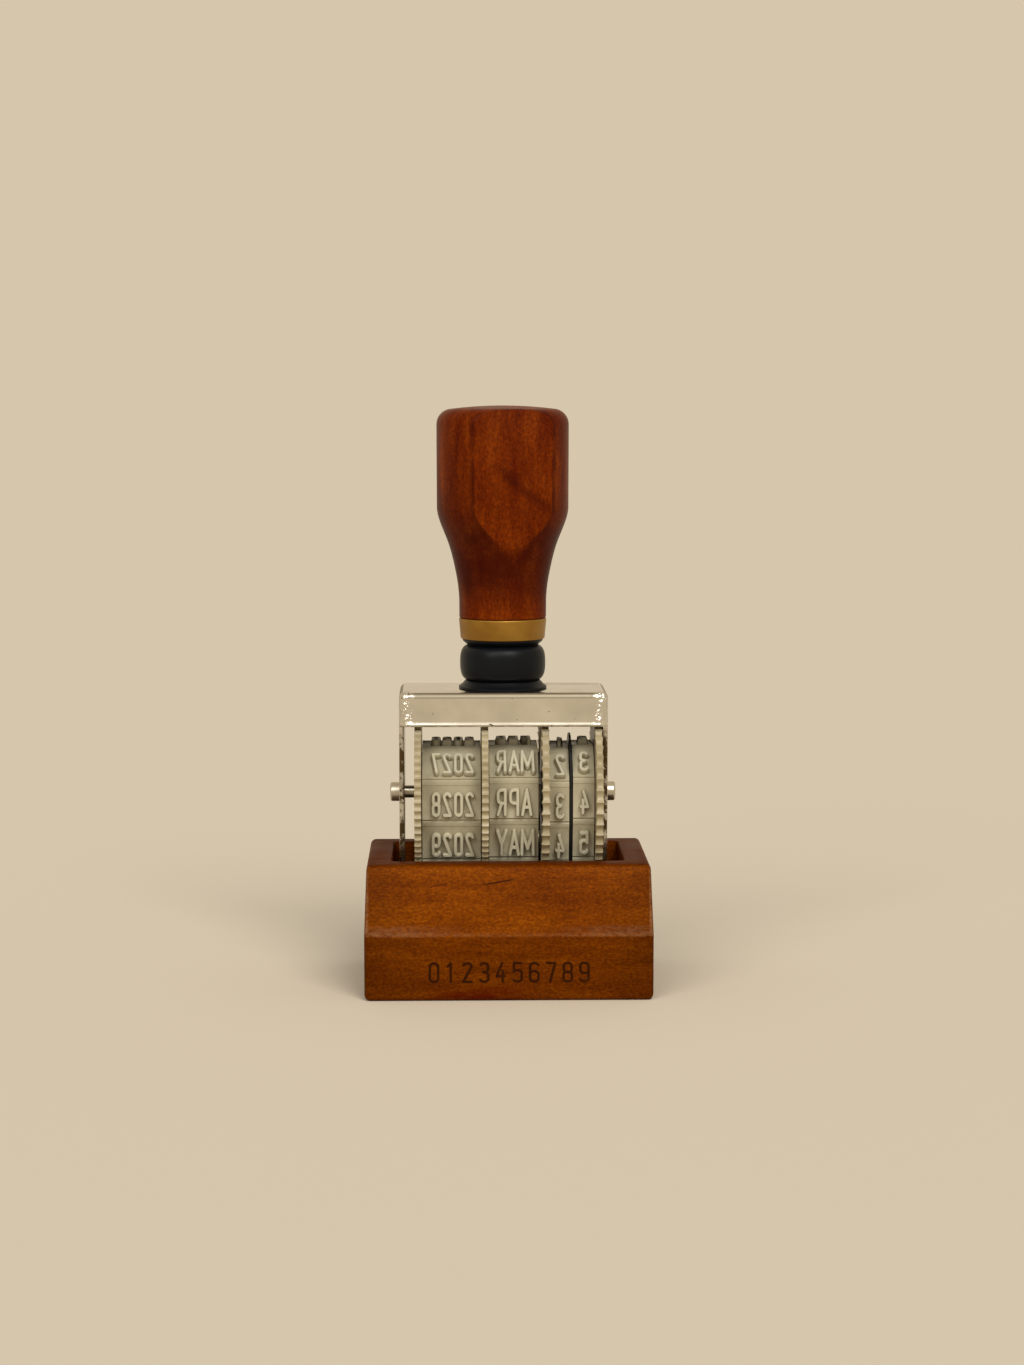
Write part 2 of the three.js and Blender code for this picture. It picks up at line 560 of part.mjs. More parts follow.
// The wooden rest: a block whose front and back lean in above an upright face, with a pocket for the foot
// of the stamp. The pocket clears the legs at its ends, and the wheels where they dip below its rim.
function restGeometry() {
  const legY = CAP_DEPTH / 2 - CAP_CORNER_RADIUS;
  const wheelY = Math.sqrt(Math.max(0, WHEEL_RADIUS ** 2 - (axleZ - REST_HEIGHT) ** 2));
  const pocketY = Math.max(wheelY, legY) + POCKET_FACE_ROOM;
  const pocketX = outerX + POCKET_SIDE_ROOM;
  const topY = pocketY + REST_SIDE_WALL;
  const footY = topY + REST_SLOPE_RUN;
  const endX = pocketX + REST_END_WALL;
  const outline = roundedShape([
    [-footY, 0, REST_EDGE_RADIUS], [footY, 0, REST_EDGE_RADIUS], [footY, REST_FACE_HEIGHT, REST_EDGE_RADIUS],
    [topY, REST_HEIGHT, REST_EDGE_RADIUS], [-topY, REST_HEIGHT, REST_EDGE_RADIUS],
    [-footY, REST_FACE_HEIGHT, REST_EDGE_RADIUS],
  ]);
  const pocket = upward(
    roundedRectangle(pocketX, pocketY, POCKET_CORNER_RADIUS), REST_FLOOR, REST_HEIGHT + OVERRUN);
  return geometryOf(solidOf(alongX(outline, -endX, endX, REST_END_BEVEL)).subtract(solidOf(pocket)));
}

const dateStamp = new THREE.Group();
const stamp = new THREE.Group();
stamp.position.x = STAMP_SHIFT;
dateStamp.add(stamp);

function add(name, geometry, materialName, group = stamp) {
  const mesh = new THREE.Mesh(geometry, material(materialName));
  mesh.name = name;
  group.add(mesh);
}

add('rest_block', restGeometry(), 'restWood', dateStamp);
add('frame', frameGeometry(), 'chrome');
add('axle', axleGeometry(), 'steel');
add('platen', platenGeometry(), 'steel');
add('day_divider', dividerGeometry(place.divider), 'steel');
add('year_wheel', wheelGeometry(place.yearWheel, FINE_TEETH, -1), 'ivoryPlastic');
add('month_wheel', wheelGeometry(place.monthWheel, FINE_TEETH, -1), 'ivoryPlastic');
add('tens_wheel', wheelGeometry(place.tensWheel, COARSE_TEETH, -1), 'ivoryPlastic');
add('units_wheel', wheelGeometry(place.unitsWheel, COARSE_TEETH, 1), 'ivoryPlastic');
add('year_drum', drumGeometry(place.yearWheel.to + SEAT_GAP, place.yearBand.to), 'paleNylon');
add('month_drum', drumGeometry(place.monthWheel.to + SEAT_GAP, place.standout.to), 'paleNylon');
add('tens_drum', drumGeometry(place.tensWheel.to + SEAT_GAP, place.tensBand.to), 'paleNylon');
add('units_drum', drumGeometry(place.unitsBand.from, place.unitsWheel.from - SEAT_GAP), 'paleNylon');
add('year_band', bandGeometry(place.yearBand), 'greyRubber');
add('month_band', bandGeometry(place.monthBand), 'greyRubber');
add('tens_band', bandGeometry(place.tensBand), 'greyRubber');
add('units_band', bandGeometry(place.unitsBand), 'greyRubber');
add('handle_screw', screwGeometry(), 'steel');
add('screw_washer', washerGeometry(), 'steel');
add('collar', collarGeometry(), 'blackPlastic');
add('ferrule', ferruleGeometry(), 'brass');
add('handle', handleGeometry(), 'gripWood');

export default dateStamp;
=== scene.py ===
# %% [markdown]
# # A band date stamp standing in its wooden rest
#
# The stamp prints a date from four rubber bands. Each band runs over a drum at the top and under a
# bar at the foot, and a toothed wheel beside it brings the next figure round. The construction is
# already there as a fixed frame of solids. This lesson gives every visible piece its real surface:
# turned wood, drawn and plated sheet, moulded rubber with raised figures.
#
# The frame is loaded first, and the boxes of its solids give the sizes of the pieces that are
# modelled here. Nothing that is modelled here may grow past it. Lengths below are written in
# millimetres and multiplied by MM.

# %% Load the frame
import math

import bpy
from mathutils import Color, Matrix, Vector


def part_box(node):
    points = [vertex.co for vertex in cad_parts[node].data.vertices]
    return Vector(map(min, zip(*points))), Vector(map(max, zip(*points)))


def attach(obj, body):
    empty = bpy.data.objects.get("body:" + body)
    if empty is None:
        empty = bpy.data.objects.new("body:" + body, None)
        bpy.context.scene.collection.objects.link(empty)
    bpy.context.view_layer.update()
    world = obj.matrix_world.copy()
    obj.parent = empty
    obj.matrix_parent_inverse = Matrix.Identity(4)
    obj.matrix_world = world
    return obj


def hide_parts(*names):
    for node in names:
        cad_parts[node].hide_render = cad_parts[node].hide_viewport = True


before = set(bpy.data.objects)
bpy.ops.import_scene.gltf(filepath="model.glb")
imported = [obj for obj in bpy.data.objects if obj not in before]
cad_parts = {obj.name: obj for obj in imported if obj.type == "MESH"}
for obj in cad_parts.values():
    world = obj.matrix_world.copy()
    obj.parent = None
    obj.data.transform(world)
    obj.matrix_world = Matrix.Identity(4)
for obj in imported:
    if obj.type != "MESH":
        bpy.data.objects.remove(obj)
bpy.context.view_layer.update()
MM = 0.001

# %% [markdown]
# ## The camera
#
# A perspective camera is defined by where it stands and by how long its lens is. The picture is
# taken from a little under half a metre, slightly from above, with a short telephoto lens. The
# object is turned a little, which is the same as walking the camera round it by that angle.

# %% Camera
SENSOR = 36
LENS = 71.2
CAMERA_PLACE = Vector((0.8, -432, 94)) * MM
CAMERA_YAW = math.radians(1.3)
CAMERA_PITCH = math.radians(6)

camera_place = Matrix.Rotation(-CAMERA_YAW, 4, "Z") @ CAMERA_PLACE
camera_turn = (math.pi / 2 - CAMERA_PITCH, 0, -CAMERA_YAW)
bpy.ops.object.camera_add(location=camera_place, rotation=camera_turn)
camera = bpy.context.object
camera.data.sensor_width = SENSOR
camera.data.lens = LENS
camera.data.clip_start = 10 * MM
camera.data.dof.use_dof = False
bpy.context.scene.camera = camera
print("camera at", [round(v / MM) for v in camera.location])

# %% [markdown]
# ## Working by hand, in code
#
# Operators act on whatever is selected, so every step begins by selecting nothing. These few
# helpers add a primitive at its real size, pick vertices, edges or faces by their place, and put a
# finished piece's place into its mesh, so that its object stays at the origin.

# %% Helpers for selecting
def stop_editing():
    if bpy.context.mode != "OBJECT":
        bpy.ops.object.mode_set(mode="OBJECT")


def select_nothing():
    stop_editing()
    bpy.ops.object.select_all(action="DESELECT")


def select_only(*objects):
    select_nothing()
    for item in objects:
        item.select_set(True)
    bpy.context.view_layer.objects.active = objects[0]


def select_in(piece, kind, test=lambda member: True):
    """Leaves edit mode on, with the vertices, edges or faces picked for which the test holds."""
    select_only(piece)
    bpy.ops.object.mode_set(mode="EDIT")
    bpy.ops.mesh.select_mode(type=kind)
    bpy.ops.mesh.select_all(action="DESELECT")
    stop_editing()
    mesh = piece.data
    for member in {"VERT": mesh.vertices, "EDGE": mesh.edges, "FACE": mesh.polygons}[kind]:
        member.select = test(member)
    bpy.ops.object.mode_set(mode="EDIT")


def ends(piece, edge):
    return [piece.data.vertices[i].co for i in edge.vertices]


def near(value, target, margin=0.01 * MM):
    return abs(value - target) < margin

# %% Helpers for starting and finishing a piece
def apply_place(piece):
    select_only(piece)
    bpy.ops.object.transform_apply(location=True, rotation=True, scale=True)


def add_block(name, low, high):
    select_nothing()
    bpy.ops.mesh.primitive_cube_add(size=1, location=(Vector(low) + Vector(high)) / 2)
    block = bpy.context.object
    block.name = name
    block.scale = Vector(high) - Vector(low)
    apply_place(block)
    return block


def extrude_by(across, back, up):
    bpy.ops.mesh.extrude_region_move(TRANSFORM_OT_translate={"value": (across, back, up)})


def close_up(piece):
    """Merges doubles and turns every face outwards."""
    select_in(piece, "VERT")
    bpy.ops.mesh.remove_doubles(threshold=0.001 * MM)
    bpy.ops.mesh.normals_make_consistent(inside=False)
    stop_editing()


def apply_modifier(piece, kind, **settings):
    select_only(piece)
    modifier = piece.modifiers.new(kind.title(), kind)
    for key, value in settings.items():
        setattr(modifier, key, value)
    bpy.ops.object.modifier_apply(modifier=modifier.name)


def break_edges(piece, width, angle):
    """Rounds every edge that is sharper than the angle."""
    apply_modifier(piece, "BEVEL", width=width, segments=2, limit_method="ANGLE",
                   angle_limit=math.radians(angle))


def smooth(piece, angle):
    select_only(piece)
    bpy.ops.object.shade_smooth_by_angle(angle=math.radians(angle))


def dress(piece, finish, body, slot, *nodes):
    """Gives the piece its finish and its body, and hides the plain solids it stands for. The slot is not
    used.
    """
    piece.data.materials.clear()
    piece.data.materials.append(finish.material)
    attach(piece, body)
    if nodes:
        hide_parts(*nodes)
    print(piece.name, "rides", body, "with", len(piece.data.polygons), "faces")

# %% [markdown]
# ## Turned pieces
#
# A lathe makes every round piece here. By hand that is a circle, extruded ring by ring along the
# profile and resized at each step. The profile is a list of radius and height pairs, so a round
# stretch can come from a formula.

# %% Turn a profile
ROUND = 128


def turn(name, profile, axis_x, sides=ROUND, closed=False):
    """Turns a profile about the upright line at axis_x. A closed profile is a ring with a bore."""
    (radius, height), *rings = profile
    select_nothing()
    bpy.ops.mesh.primitive_circle_add(vertices=sides, radius=radius, location=(axis_x, 0, height))
    piece = bpy.context.object
    piece.name = name
    apply_place(piece)
    select_in(piece, "VERT")
    for next_radius, next_height in rings:
        extrude_by(0, 0, next_height - height)
        share = next_radius / radius
        bpy.ops.transform.resize(value=(share, share, 1), center_override=(axis_x, 0, next_height))
        radius, height = next_radius, next_height
    if not closed:
        bpy.ops.mesh.select_all(action="DESELECT")
        bpy.ops.mesh.select_non_manifold()
        bpy.ops.mesh.fill_holes(sides=0)
    close_up(piece)
    return piece


def arc(centre_radius, centre_height, radius, start, end, steps):
    """Points of a profile on an arc. Angles are in degrees, 0 outwards and 90 upwards."""
    angles = [math.radians(start + (end - start) * step / steps) for step in range(steps + 1)]
    return [(centre_radius + radius * math.cos(a), centre_height + radius * math.sin(a)) for a in angles]

# %% [markdown]
# ## Building finishes
#
# Every finish is made of shader nodes that read Object coordinates, in metres. A Mapping node
# stretches them, so that a noise becomes a streak along the grain. A net of nodes is a sum that is
# drawn as boxes, and it soon gets hard to follow. So a small class holds the output of one node and
# lets the sum be written as a sum: each plus, minus or times adds the node that works it out.

# %% Outputs of nodes
def fill(socket, value):
    """Sets an input to a number or a colour, or links the output of another node to it."""
    if isinstance(value, Output):
        value.tree.links.new(value.socket, socket)
    else:
        socket.default_value = value


def add(tree, kind, inputs, output=0, **options):
    """Adds a node, sets its options, fills its inputs and gives back one of its outputs."""
    made = tree.nodes.new("ShaderNode" + kind)
    for key, value in options.items():
        setattr(made, key, value)
    for name, value in inputs.items():
        fill(made.inputs[name], value)
    return Output(tree, made.outputs[output])


class Output:
    """The output of a node, which can be added, subtracted and multiplied as a number can."""

    def __init__(self, tree, socket):
        self.tree = tree
        self.socket = socket

    def math(self, operation, other=0.0):
        return add(self.tree, "Math", {0: self, 1: other}, operation=operation)

    def __add__(self, other):
        return self.math("ADD", other)

    def __sub__(self, other):
        return self.math("SUBTRACT", other)

    def __rsub__(self, other):
        return add(self.tree, "Math", {0: other, 1: self}, operation="SUBTRACT")

    def __mul__(self, other):
        return self.math("MULTIPLY", other)

    def __abs__(self):
        return self.math("ABSOLUTE")

    def at_least(self, other):
        return self.math("MAXIMUM", other)

    def remap(self, low, high, to_low=0, to_high=1):
        values = {"Value": self, "From Min": low, "From Max": high, "To Min": to_low, "To Max": to_high}
        return add(self.tree, "MapRange", values)

    def between(self, start, full, fade, end):
        """A mask that is 1 from full to fade, and 0 before start and after end."""
        return self.remap(start, full) * self.remap(fade, end, 1, 0)

    def ramp(self, *stops):
        """A colour ramp. Each stop is a place from 0 to 1 and a colour."""
        made = add(self.tree, "ValToRGB", {"Fac": self})
        elements = made.socket.node.color_ramp.elements
        elements[0].position, elements[0].color = stops[0]
        elements[1].position, elements[1].color = stops[-1]
        for position, value in stops[1:-1]:
            elements.new(position).color = value
        return made

    def mixed(self, share, other, blend="MIX"):
        """This colour with a share of another laid over it."""
        inputs = {0: share, 6: self, 7: other}
        return add(self.tree, "Mix", inputs, 2, data_type="RGBA", blend_type=blend)

    def tinted(self, share, other):
        return self.mixed(share, other, "MULTIPLY")

# %% Helpers for finishes
WHITE = (1, 1, 1, 1)


def colour(red, green, blue):
    """A colour read from a screen, 0 to 255, as the light values that the shader works with."""
    value = Color((red / 255, green / 255, blue / 255)).from_srgb_to_scene_linear()
    return (*value, 1)


class Finish:
    """A new material with its nodes, its shader, and the place of a point in Object coordinates."""

    def __init__(self, name):
        self.material = bpy.data.materials.new(name)
        self.material.use_nodes = True
        self.tree = self.material.node_tree
        self.shader = self.tree.nodes["Principled BSDF"]
        self.place = add(self.tree, "TexCoord", {}, "Object")

    def axes(self):
        parts = add(self.tree, "SeparateXYZ", {"Vector": self.place}).socket.node.outputs
        return [Output(self.tree, part) for part in parts]

    def set(self, values):
        for name, value in values.items():
            fill(self.shader.inputs[name], value)

    def bump(self, height, distance, strength=1.0):
        values = {"Height": height, "Distance": distance, "Strength": strength}
        self.set({"Normal": add(self.tree, "Bump", values)})


def stretched(place, scales):
    return add(place.tree, "Mapping", {"Vector": place, "Scale": scales})


def noise(place, scale=1.0, detail=4.0, roughness=0.55):
    values = {"Vector": place, "Scale": scale, "Detail": detail, "Roughness": roughness}
    return add(place.tree, "TexNoise", values)


def streak(across, up, start, length, rise, width):
    """A mask for a thin line that starts at a place in X and Z, and fades at both ends."""
    from_start = across - start.x
    from_line = abs(up - (from_start * rise + start.z))
    from_middle = abs(from_start - length / 2)
    return from_line.remap(width * 0.2, width, 1, 0) * from_middle.remap(length * 0.25, length / 2, 1, 0)

# %% [markdown]
# ## Wood
#
# Both wooden pieces are close-grained hardwood, stained and varnished. Three things make that
# believable at this size: slow changes of tone, soft streaks along the grain, and flecks about half
# a millimetre long where the stain has taken unevenly. The rest's grain runs along its length, and
# the handle's runs up it. The varnish is thin, so the shine stays low.

# %% Varnished wood
WANDER = 1.6 * MM
WANDER_SCALE = 140
GRAIN_DEPTH = 0.04 * MM


def wood(name, tones, grain, roughness, cloudy, shine):
    """Tones run from dark to light. Grain is the direction of the fibres, 0 for X or 2 for Z."""
    finish = Finish(name)
    swirl = {"Vector": finish.place, "Scale": WANDER_SCALE, "Detail": 3.0}
    wander = add(finish.tree, "TexNoise", swirl, "Color")
    wander = add(finish.tree, "VectorMath", {0: wander, 1: (WANDER, WANDER, WANDER)}, operation="MULTIPLY")
    moved = add(finish.tree, "VectorMath", {0: finish.place, 1: wander}, operation="ADD")

    def along(length, width):
        """The moved place, stretched so that a noise step is so long and wide in millimetres."""
        scales = [1 / (width * MM)] * 3
        scales[grain] = 1 / (length * MM)
        return stretched(moved, scales)

    streaks = noise(along(14, 2.2))
    fibres = noise(along(2.2, 0.2), roughness=0.6)
    clouds = noise(along(11, 8), detail=3)
    flecks = noise(along(0.52, 0.32), detail=3, roughness=0.6)

    base = streaks.ramp((0.3, tones[0]), (0.52, tones[1]), (0.74, tones[2]))
    base = base.tinted(cloudy, clouds.ramp((0.34, (0.76, 0.68, 0.6, 1)), (0.66, (1.14, 1.16, 1.16, 1))))
    fibre_tone = fibres.ramp((0.34, (0.72, 0.66, 0.6, 1)), (0.5, WHITE), (0.68, (1.1, 1.1, 1.1, 1)))
    base = base.tinted(0.6, fibre_tone)
    fleck_tone = flecks.ramp((0.34, (0.6, 0.52, 0.42, 1)), (0.5, WHITE), (0.66, (1.5, 1.62, 1.7, 1)))
    finish.base = base.tinted(0.7, fleck_tone)
    polish = clouds.remap(0.3, 0.7, roughness - 0.05, roughness + 0.08)
    finish.set({"Roughness": polish, "Specular IOR Level": shine})
    finish.bump(fibres * 0.6 + flecks, GRAIN_DEPTH, 0.35)
    return finish

# %% [markdown]
# The rest is a warm orange-brown, and it has been handled. The varnish is rubbed pale along the
# crease between its upright and sloped faces, and up the ends of the slope. Masks that measure the
# height above the crease, broken up by noise, put that wear where a real block gets it. The upright
# face and the top face are darkened with painted shade. Two short drying cracks run across the slope.

# %% Finish of the rest
REST_LOW, REST_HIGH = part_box("rest_block")
REST_CREASE = 10.25 * MM
SLOPE_SHARE = 0.256
LINE_HEIGHT = 0.7 * MM
SCUFF_HEIGHT = 1.9 * MM
LONG_CRACK = Vector((-4.9, 0, 18.0)) * MM
SHORT_CRACK = Vector((-12.9, 0, 17.8)) * MM
CRACK_RISE = 0.17
rest_tones = [colour(98, 42, 0), colour(112, 51, 0), colour(128, 62, 1)]
rest_wood = wood("stained_rest_wood", rest_tones, 0, 0.42, 0.18, 0.02)
along_x, across_y, up_z = rest_wood.axes()
off_centre = abs(along_x)
from_end = REST_HIGH.x - off_centre
above_crease = up_z - REST_CREASE
from_slope = REST_HIGH.y - (above_crease * SLOPE_SHARE + abs(across_y))

# Painted shade: the upright face below the crease is tinted darker than the slope.
base = rest_wood.base.tinted(above_crease.remap(-0.1 * MM, 0.15 * MM, 1, 0), (0.76, 0.74, 0.6, 1))
base = base.tinted(off_centre.remap(13 * MM, REST_HIGH.x, 0, 0.6), (0.6, 0.62, 0.7, 1))
# Painted shade: the top face is tinted darker, to offset the light it catches from above.
top_face_painted_shade = (REST_HIGH.z - up_z).remap(0.1 * MM, 0.5 * MM, 0.9, 0)
base = base.tinted(top_face_painted_shade, (0.5, 0.43, 0.3, 1))

outside = from_slope.remap(0.8 * MM, 1.2 * MM, 1, 0).at_least(from_end.remap(1.2 * MM, 1.5 * MM, 1, 0))
marks = noise(stretched(rest_wood.place, [700, 1200, 1900]), roughness=0.7)
rubbed = marks.remap(0.36, 0.62, 0.05, 1)
line = above_crease.between(-0.12 * MM, 0.1 * MM, 0.3 * MM, LINE_HEIGHT)
line = line * outside * rubbed * off_centre.remap(2 * MM, 18 * MM, 0.2, 0.52)
haze = above_crease.between(0.2 * MM, 0.5 * MM, 1.1 * MM, SCUFF_HEIGHT)
haze = haze * outside * rubbed * off_centre.remap(7 * MM, 16 * MM, 0.03, 0.44)
corner = from_end.remap(0.45 * MM, 0.8 * MM, 0.8, 0) * rubbed
corner = corner * above_crease.remap(0, 1 * MM) * from_slope.remap(0.2 * MM, 0.8 * MM, 1, 0)
base = base.mixed(haze, colour(126, 86, 56)).mixed(line.at_least(corner), colour(148, 102, 64))

patchy = noise(stretched(rest_wood.place, [250, 600, 900])).remap(0.35, 0.55, 0.2, 0.9)
red_patch = up_z.remap(0.8 * MM, 3 * MM, 1, 0) * abs(along_x + 4.5 * MM).remap(4 * MM, 9 * MM, 1, 0)
base = base.mixed(red_patch * patchy, colour(76, 14, 0))
on_front = across_y.remap(-13 * MM, -12.8 * MM, 1, 0)
for start, length, width, depth, tone in (
        (LONG_CRACK, 6.4 * MM, 0.2 * MM, 0.9, colour(40, 12, 2)),
        (SHORT_CRACK, 3.4 * MM, 0.22 * MM, 0.6, colour(62, 14, 2))):
    crack = streak(along_x, up_z, start, length, CRACK_RISE, width)
    base = base.mixed(crack * on_front * depth, tone)
rest_wood.set({"Base Color": base})
print("rest finish has", len(rest_wood.tree.nodes), "nodes")

# %% [markdown]
# The handle is deeper in colour. Painted shade darkens the hollow of the flare outside the thumb
# flats and runs along their edges. One dark streak slants across the front flat. A point's distance
# from the plane of a flat says whether it lies on the flat, beside it, or on its edge.

# %% Finish of the handle
FLAT_DISTANCE = 8.55 * MM
FLAT_TURN = math.radians(10.5)
FRAME_LOW, FRAME_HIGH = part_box("frame")
STAMP_X = (FRAME_LOW.x + FRAME_HIGH.x) / 2
FLARE_SHADE_BAND = (60 * MM, 65 * MM, 72 * MM, 80 * MM)
DARK_STREAK = Vector((-3.6, 0, 84.6)) * MM
flat_normal = Vector((math.sin(FLAT_TURN), -math.cos(FLAT_TURN), 0))
handle_tones = [colour(82, 22, 0), colour(101, 35, 0), colour(121, 50, 2)]
handle_wood = wood("stained_handle_wood", handle_tones, 2, 0.36, 0.75, 0.04)
along_x, across_y, up_z = handle_wood.axes()

toward_flat = (along_x - STAMP_X) * flat_normal.x + across_y * flat_normal.y
short_of_flat = FLAT_DISTANCE - abs(toward_flat)
blotches = noise(handle_wood.place, 260, detail=3)
# Painted shade: the downward-facing hollow of the flare, outside the flats, is darkened.
flare_painted_shade = up_z.between(*FLARE_SHADE_BAND) * short_of_flat.remap(0.05 * MM, 0.4 * MM)
flare_painted_shade = flare_painted_shade * blotches.remap(0.3, 0.6, 0.55, 1) * 0.85
# Painted shade: a thin dark line along the edges of the flats.
arris_painted_shade = short_of_flat.between(0.02 * MM, 0.12 * MM, 0.3 * MM, 0.7 * MM)
arris_painted_shade = arris_painted_shade * up_z.remap(70 * MM, 74 * MM) * blotches.remap(0.35, 0.55, 0.2, 0.75)
slant = streak(along_x, up_z, DARK_STREAK, 12.5 * MM, -0.8, 1.5 * MM)
slant = slant * across_y.remap(-5 * MM, -4 * MM, 1, 0) * blotches.remap(0.35, 0.6, 0.25, 0.72)
base = handle_wood.base
for mask, tone in ((flare_painted_shade, colour(56, 9, 1)), (arris_painted_shade, colour(58, 11, 1)), (slant, colour(62, 13, 1))):
    base = base.mixed(mask, tone)
handle_wood.set({"Base Color": base})
print("handle finish has", len(handle_wood.tree.nodes), "nodes")

# %% [markdown]
# ## Metal, rubber and plastic
#
# Plated sheet is a mirror with faults: slow dents from drawing, and small pits. Brass is softer,
# and lacquer dulls it. Moulded rubber and plastic are nearly even in colour, so their life comes
# from slight changes of tone and a fine skin.

# %% A finish with changing tone and a fine skin
def plain_finish(name, dark, light, roughness, metal=0.0, patch=400, skin=6000, skin_depth=0.01 * MM,
                 spread=0.08, shine=0.5):
    """Tone and roughness change over patches. Patch and skin are how many noise steps fit in a metre."""
    finish = Finish(name)
    patches = noise(finish.place, patch)
    finish.base = patches.ramp((0.3, colour(*dark)), (0.7, colour(*light)))
    polish = patches.remap(0.3, 0.7, roughness + spread, roughness - spread)
    finish.set({"Base Color": finish.base, "Roughness": polish})
    finish.set({"Metallic": metal, "Specular IOR Level": shine})
    finish.bump(noise(finish.place, skin, detail=2), skin_depth, 0.5)
    return finish


RUBBER_SKIN = {"skin": 5000, "skin_depth": 0.02 * MM}
rubber = plain_finish("band_rubber", (158, 148, 120), (182, 171, 140), 0.4, patch=260, shine=0.4,
                      **RUBBER_SKIN)
# The figures' rubber is the band's rubber painted lighter, a painted highlight for their lit tops.
painted_light_type_rubber = plain_finish("painted_light_type_rubber", (178, 169, 142), (198, 189, 160), 0.36, patch=300, shine=0.45,
                           **RUBBER_SKIN)
ivory = plain_finish("ivory_plastic", (150, 134, 100), (174, 158, 122), 0.42, patch=300)
nylon = plain_finish("pale_nylon", (150, 144, 128), (168, 162, 146), 0.5)
steel = plain_finish("bright_steel", (178, 170, 152), (206, 198, 182), 0.3, metal=0.95)
dark_steel = plain_finish("blackened_steel", (24, 25, 27), (44, 44, 44), 0.4, metal=0.6)
black_satin = plain_finish("black_satin", (7, 9, 12), (14, 16, 20), 0.38, patch=150, skin=2500,
                           skin_depth=0.008 * MM, spread=0.05, shine=0.14)
brass = plain_finish("lacquered_brass", (134, 92, 22), (154, 112, 38), 0.45, metal=0.5, patch=220,
                     spread=0.05, shine=0.35)
burnt = plain_finish("burnt_wood", (42, 15, 1), (56, 23, 3), 0.7, shine=0.03)
print("finishes so far", len(bpy.data.materials))

# %% [markdown]
# The plating on the frame is bright, but the sheet under it isn't even. Drawing has left it rippled
# at the corners of the lip, and a few pits show. The ripple is a bump whose strength grows over the
# last two millimetres of the lip, so the long faces stay calm. Painted shade darkens the top bend
# and the lip's cut edge, and the plating is rubbed matt down the legs.

# %% Plated sheet
LIP_Z = 42.35 * MM
FRAME_HALF = (FRAME_HIGH.x - FRAME_LOW.x) / 2
plating = Finish("bright_plating")
along_x, across_y, up_z = plating.axes()
from_side = FRAME_HALF - abs(along_x - STAMP_X)
from_face = FRAME_HIGH.y - abs(across_y)
above_lip = up_z - LIP_Z
crinkled = from_side.remap(1.3 * MM, 2.7 * MM, 0.85, 0.015) * from_face.remap(0.9 * MM, 2 * MM, 1, 0.05)
crinkled = crinkled * above_lip.remap(-1 * MM, 0, 0.1, 1)
crinkle = noise(stretched(plating.place, [1850, 1850, 1300]), detail=2)
dents = noise(plating.place, 160, detail=2)
waves = noise(plating.place, 520, detail=2.5)
pits = noise(plating.place, 2400, detail=0).remap(0.83, 0.86)
worn_spots = noise(plating.place, 700, roughness=0.65)
plating.bump(crinkle * crinkled + waves * 0.02 - pits * 0.3, 0.4 * MM)

# Painted shade: the top bend is tinted darker, so that it shows no bright highlight.
bend_painted_shade = (FRAME_HIGH.z - up_z).between(0.03 * MM, 0.1 * MM, 0.8 * MM, 0.95 * MM)
bend_painted_shade = bend_painted_shade * crinkled.remap(0.1, 0.5, 1, 0.2)
on_roll = above_lip.between(0.3 * MM, 0.4 * MM, 0.75 * MM, 0.9 * MM)
# Painted shade: a dark line along the lip's lower cut edge.
lip_edge_painted_shade = above_lip.between(-0.3 * MM, -0.2 * MM, 0.16 * MM, 0.3 * MM) * 0.8
lip_edge_painted_shade = lip_edge_painted_shade * from_face.remap(1.2 * MM, 1.4 * MM, 1, 0) * worn_spots.remap(0.4, 0.58, 0.9, 0.25)
on_leg = above_lip.remap(-2 * MM, 0, 1, 0)
leg_edge = from_side.between(0.02 * MM, 0.08 * MM, 0.74 * MM, 0.8 * MM) * worn_spots.remap(0.5, 0.62, 1, 0.15)
# Worn plating down the legs and on their edges, together with the painted shade at the lip's edge.
wear_and_painted_shade = (leg_edge * on_leg).at_least(on_leg * dents.remap(0.3, 0.7, 0.32, 0.18)).at_least(lip_edge_painted_shade)
tone = dents.ramp((0.3, colour(212, 206, 193)), (0.7, colour(230, 225, 213)))
for mask, other in ((wear_and_painted_shade, colour(88, 71, 46)), (bend_painted_shade, colour(138, 129, 110)), (pits, colour(60, 50, 38))):
    tone = tone.mixed(mask, other)
polish = crinkled.remap(0.1, 0.8, 0.14, 0.17)
for mask, roughest in ((bend_painted_shade, 0.5), (on_roll, 0.3), (wear_and_painted_shade, 0.5)):
    polish = polish.at_least(mask * roughest)
plating.set({"Base Color": tone, "Roughness": polish, "Metallic": 1.0})
print("plating has", len(plating.tree.nodes), "nodes")

# %% [markdown]
# ## The wooden rest
#
# The rest is one block. It starts as a cube of the block's full size. A cut at the crease lets the
# top be drawn in, so that the front and back lean back. The outer edges are rounded, as hands and
# the table have worn them. The top face is inset to the pocket's outline, and its corners are
# rounded. A few small insets that also go down round the rim, and then the pocket is pushed down.

# %% Block with leaning faces
REST_SIDE_WALL = 3.7 * MM
REST_END_WALL = 4.25 * MM
REST_SLOPE_RUN = 2.8 * MM
REST_END_RUN = 0.35 * MM
EDGE_ROUND = 0.9 * MM
CUT_MARGIN = 0.001 * MM

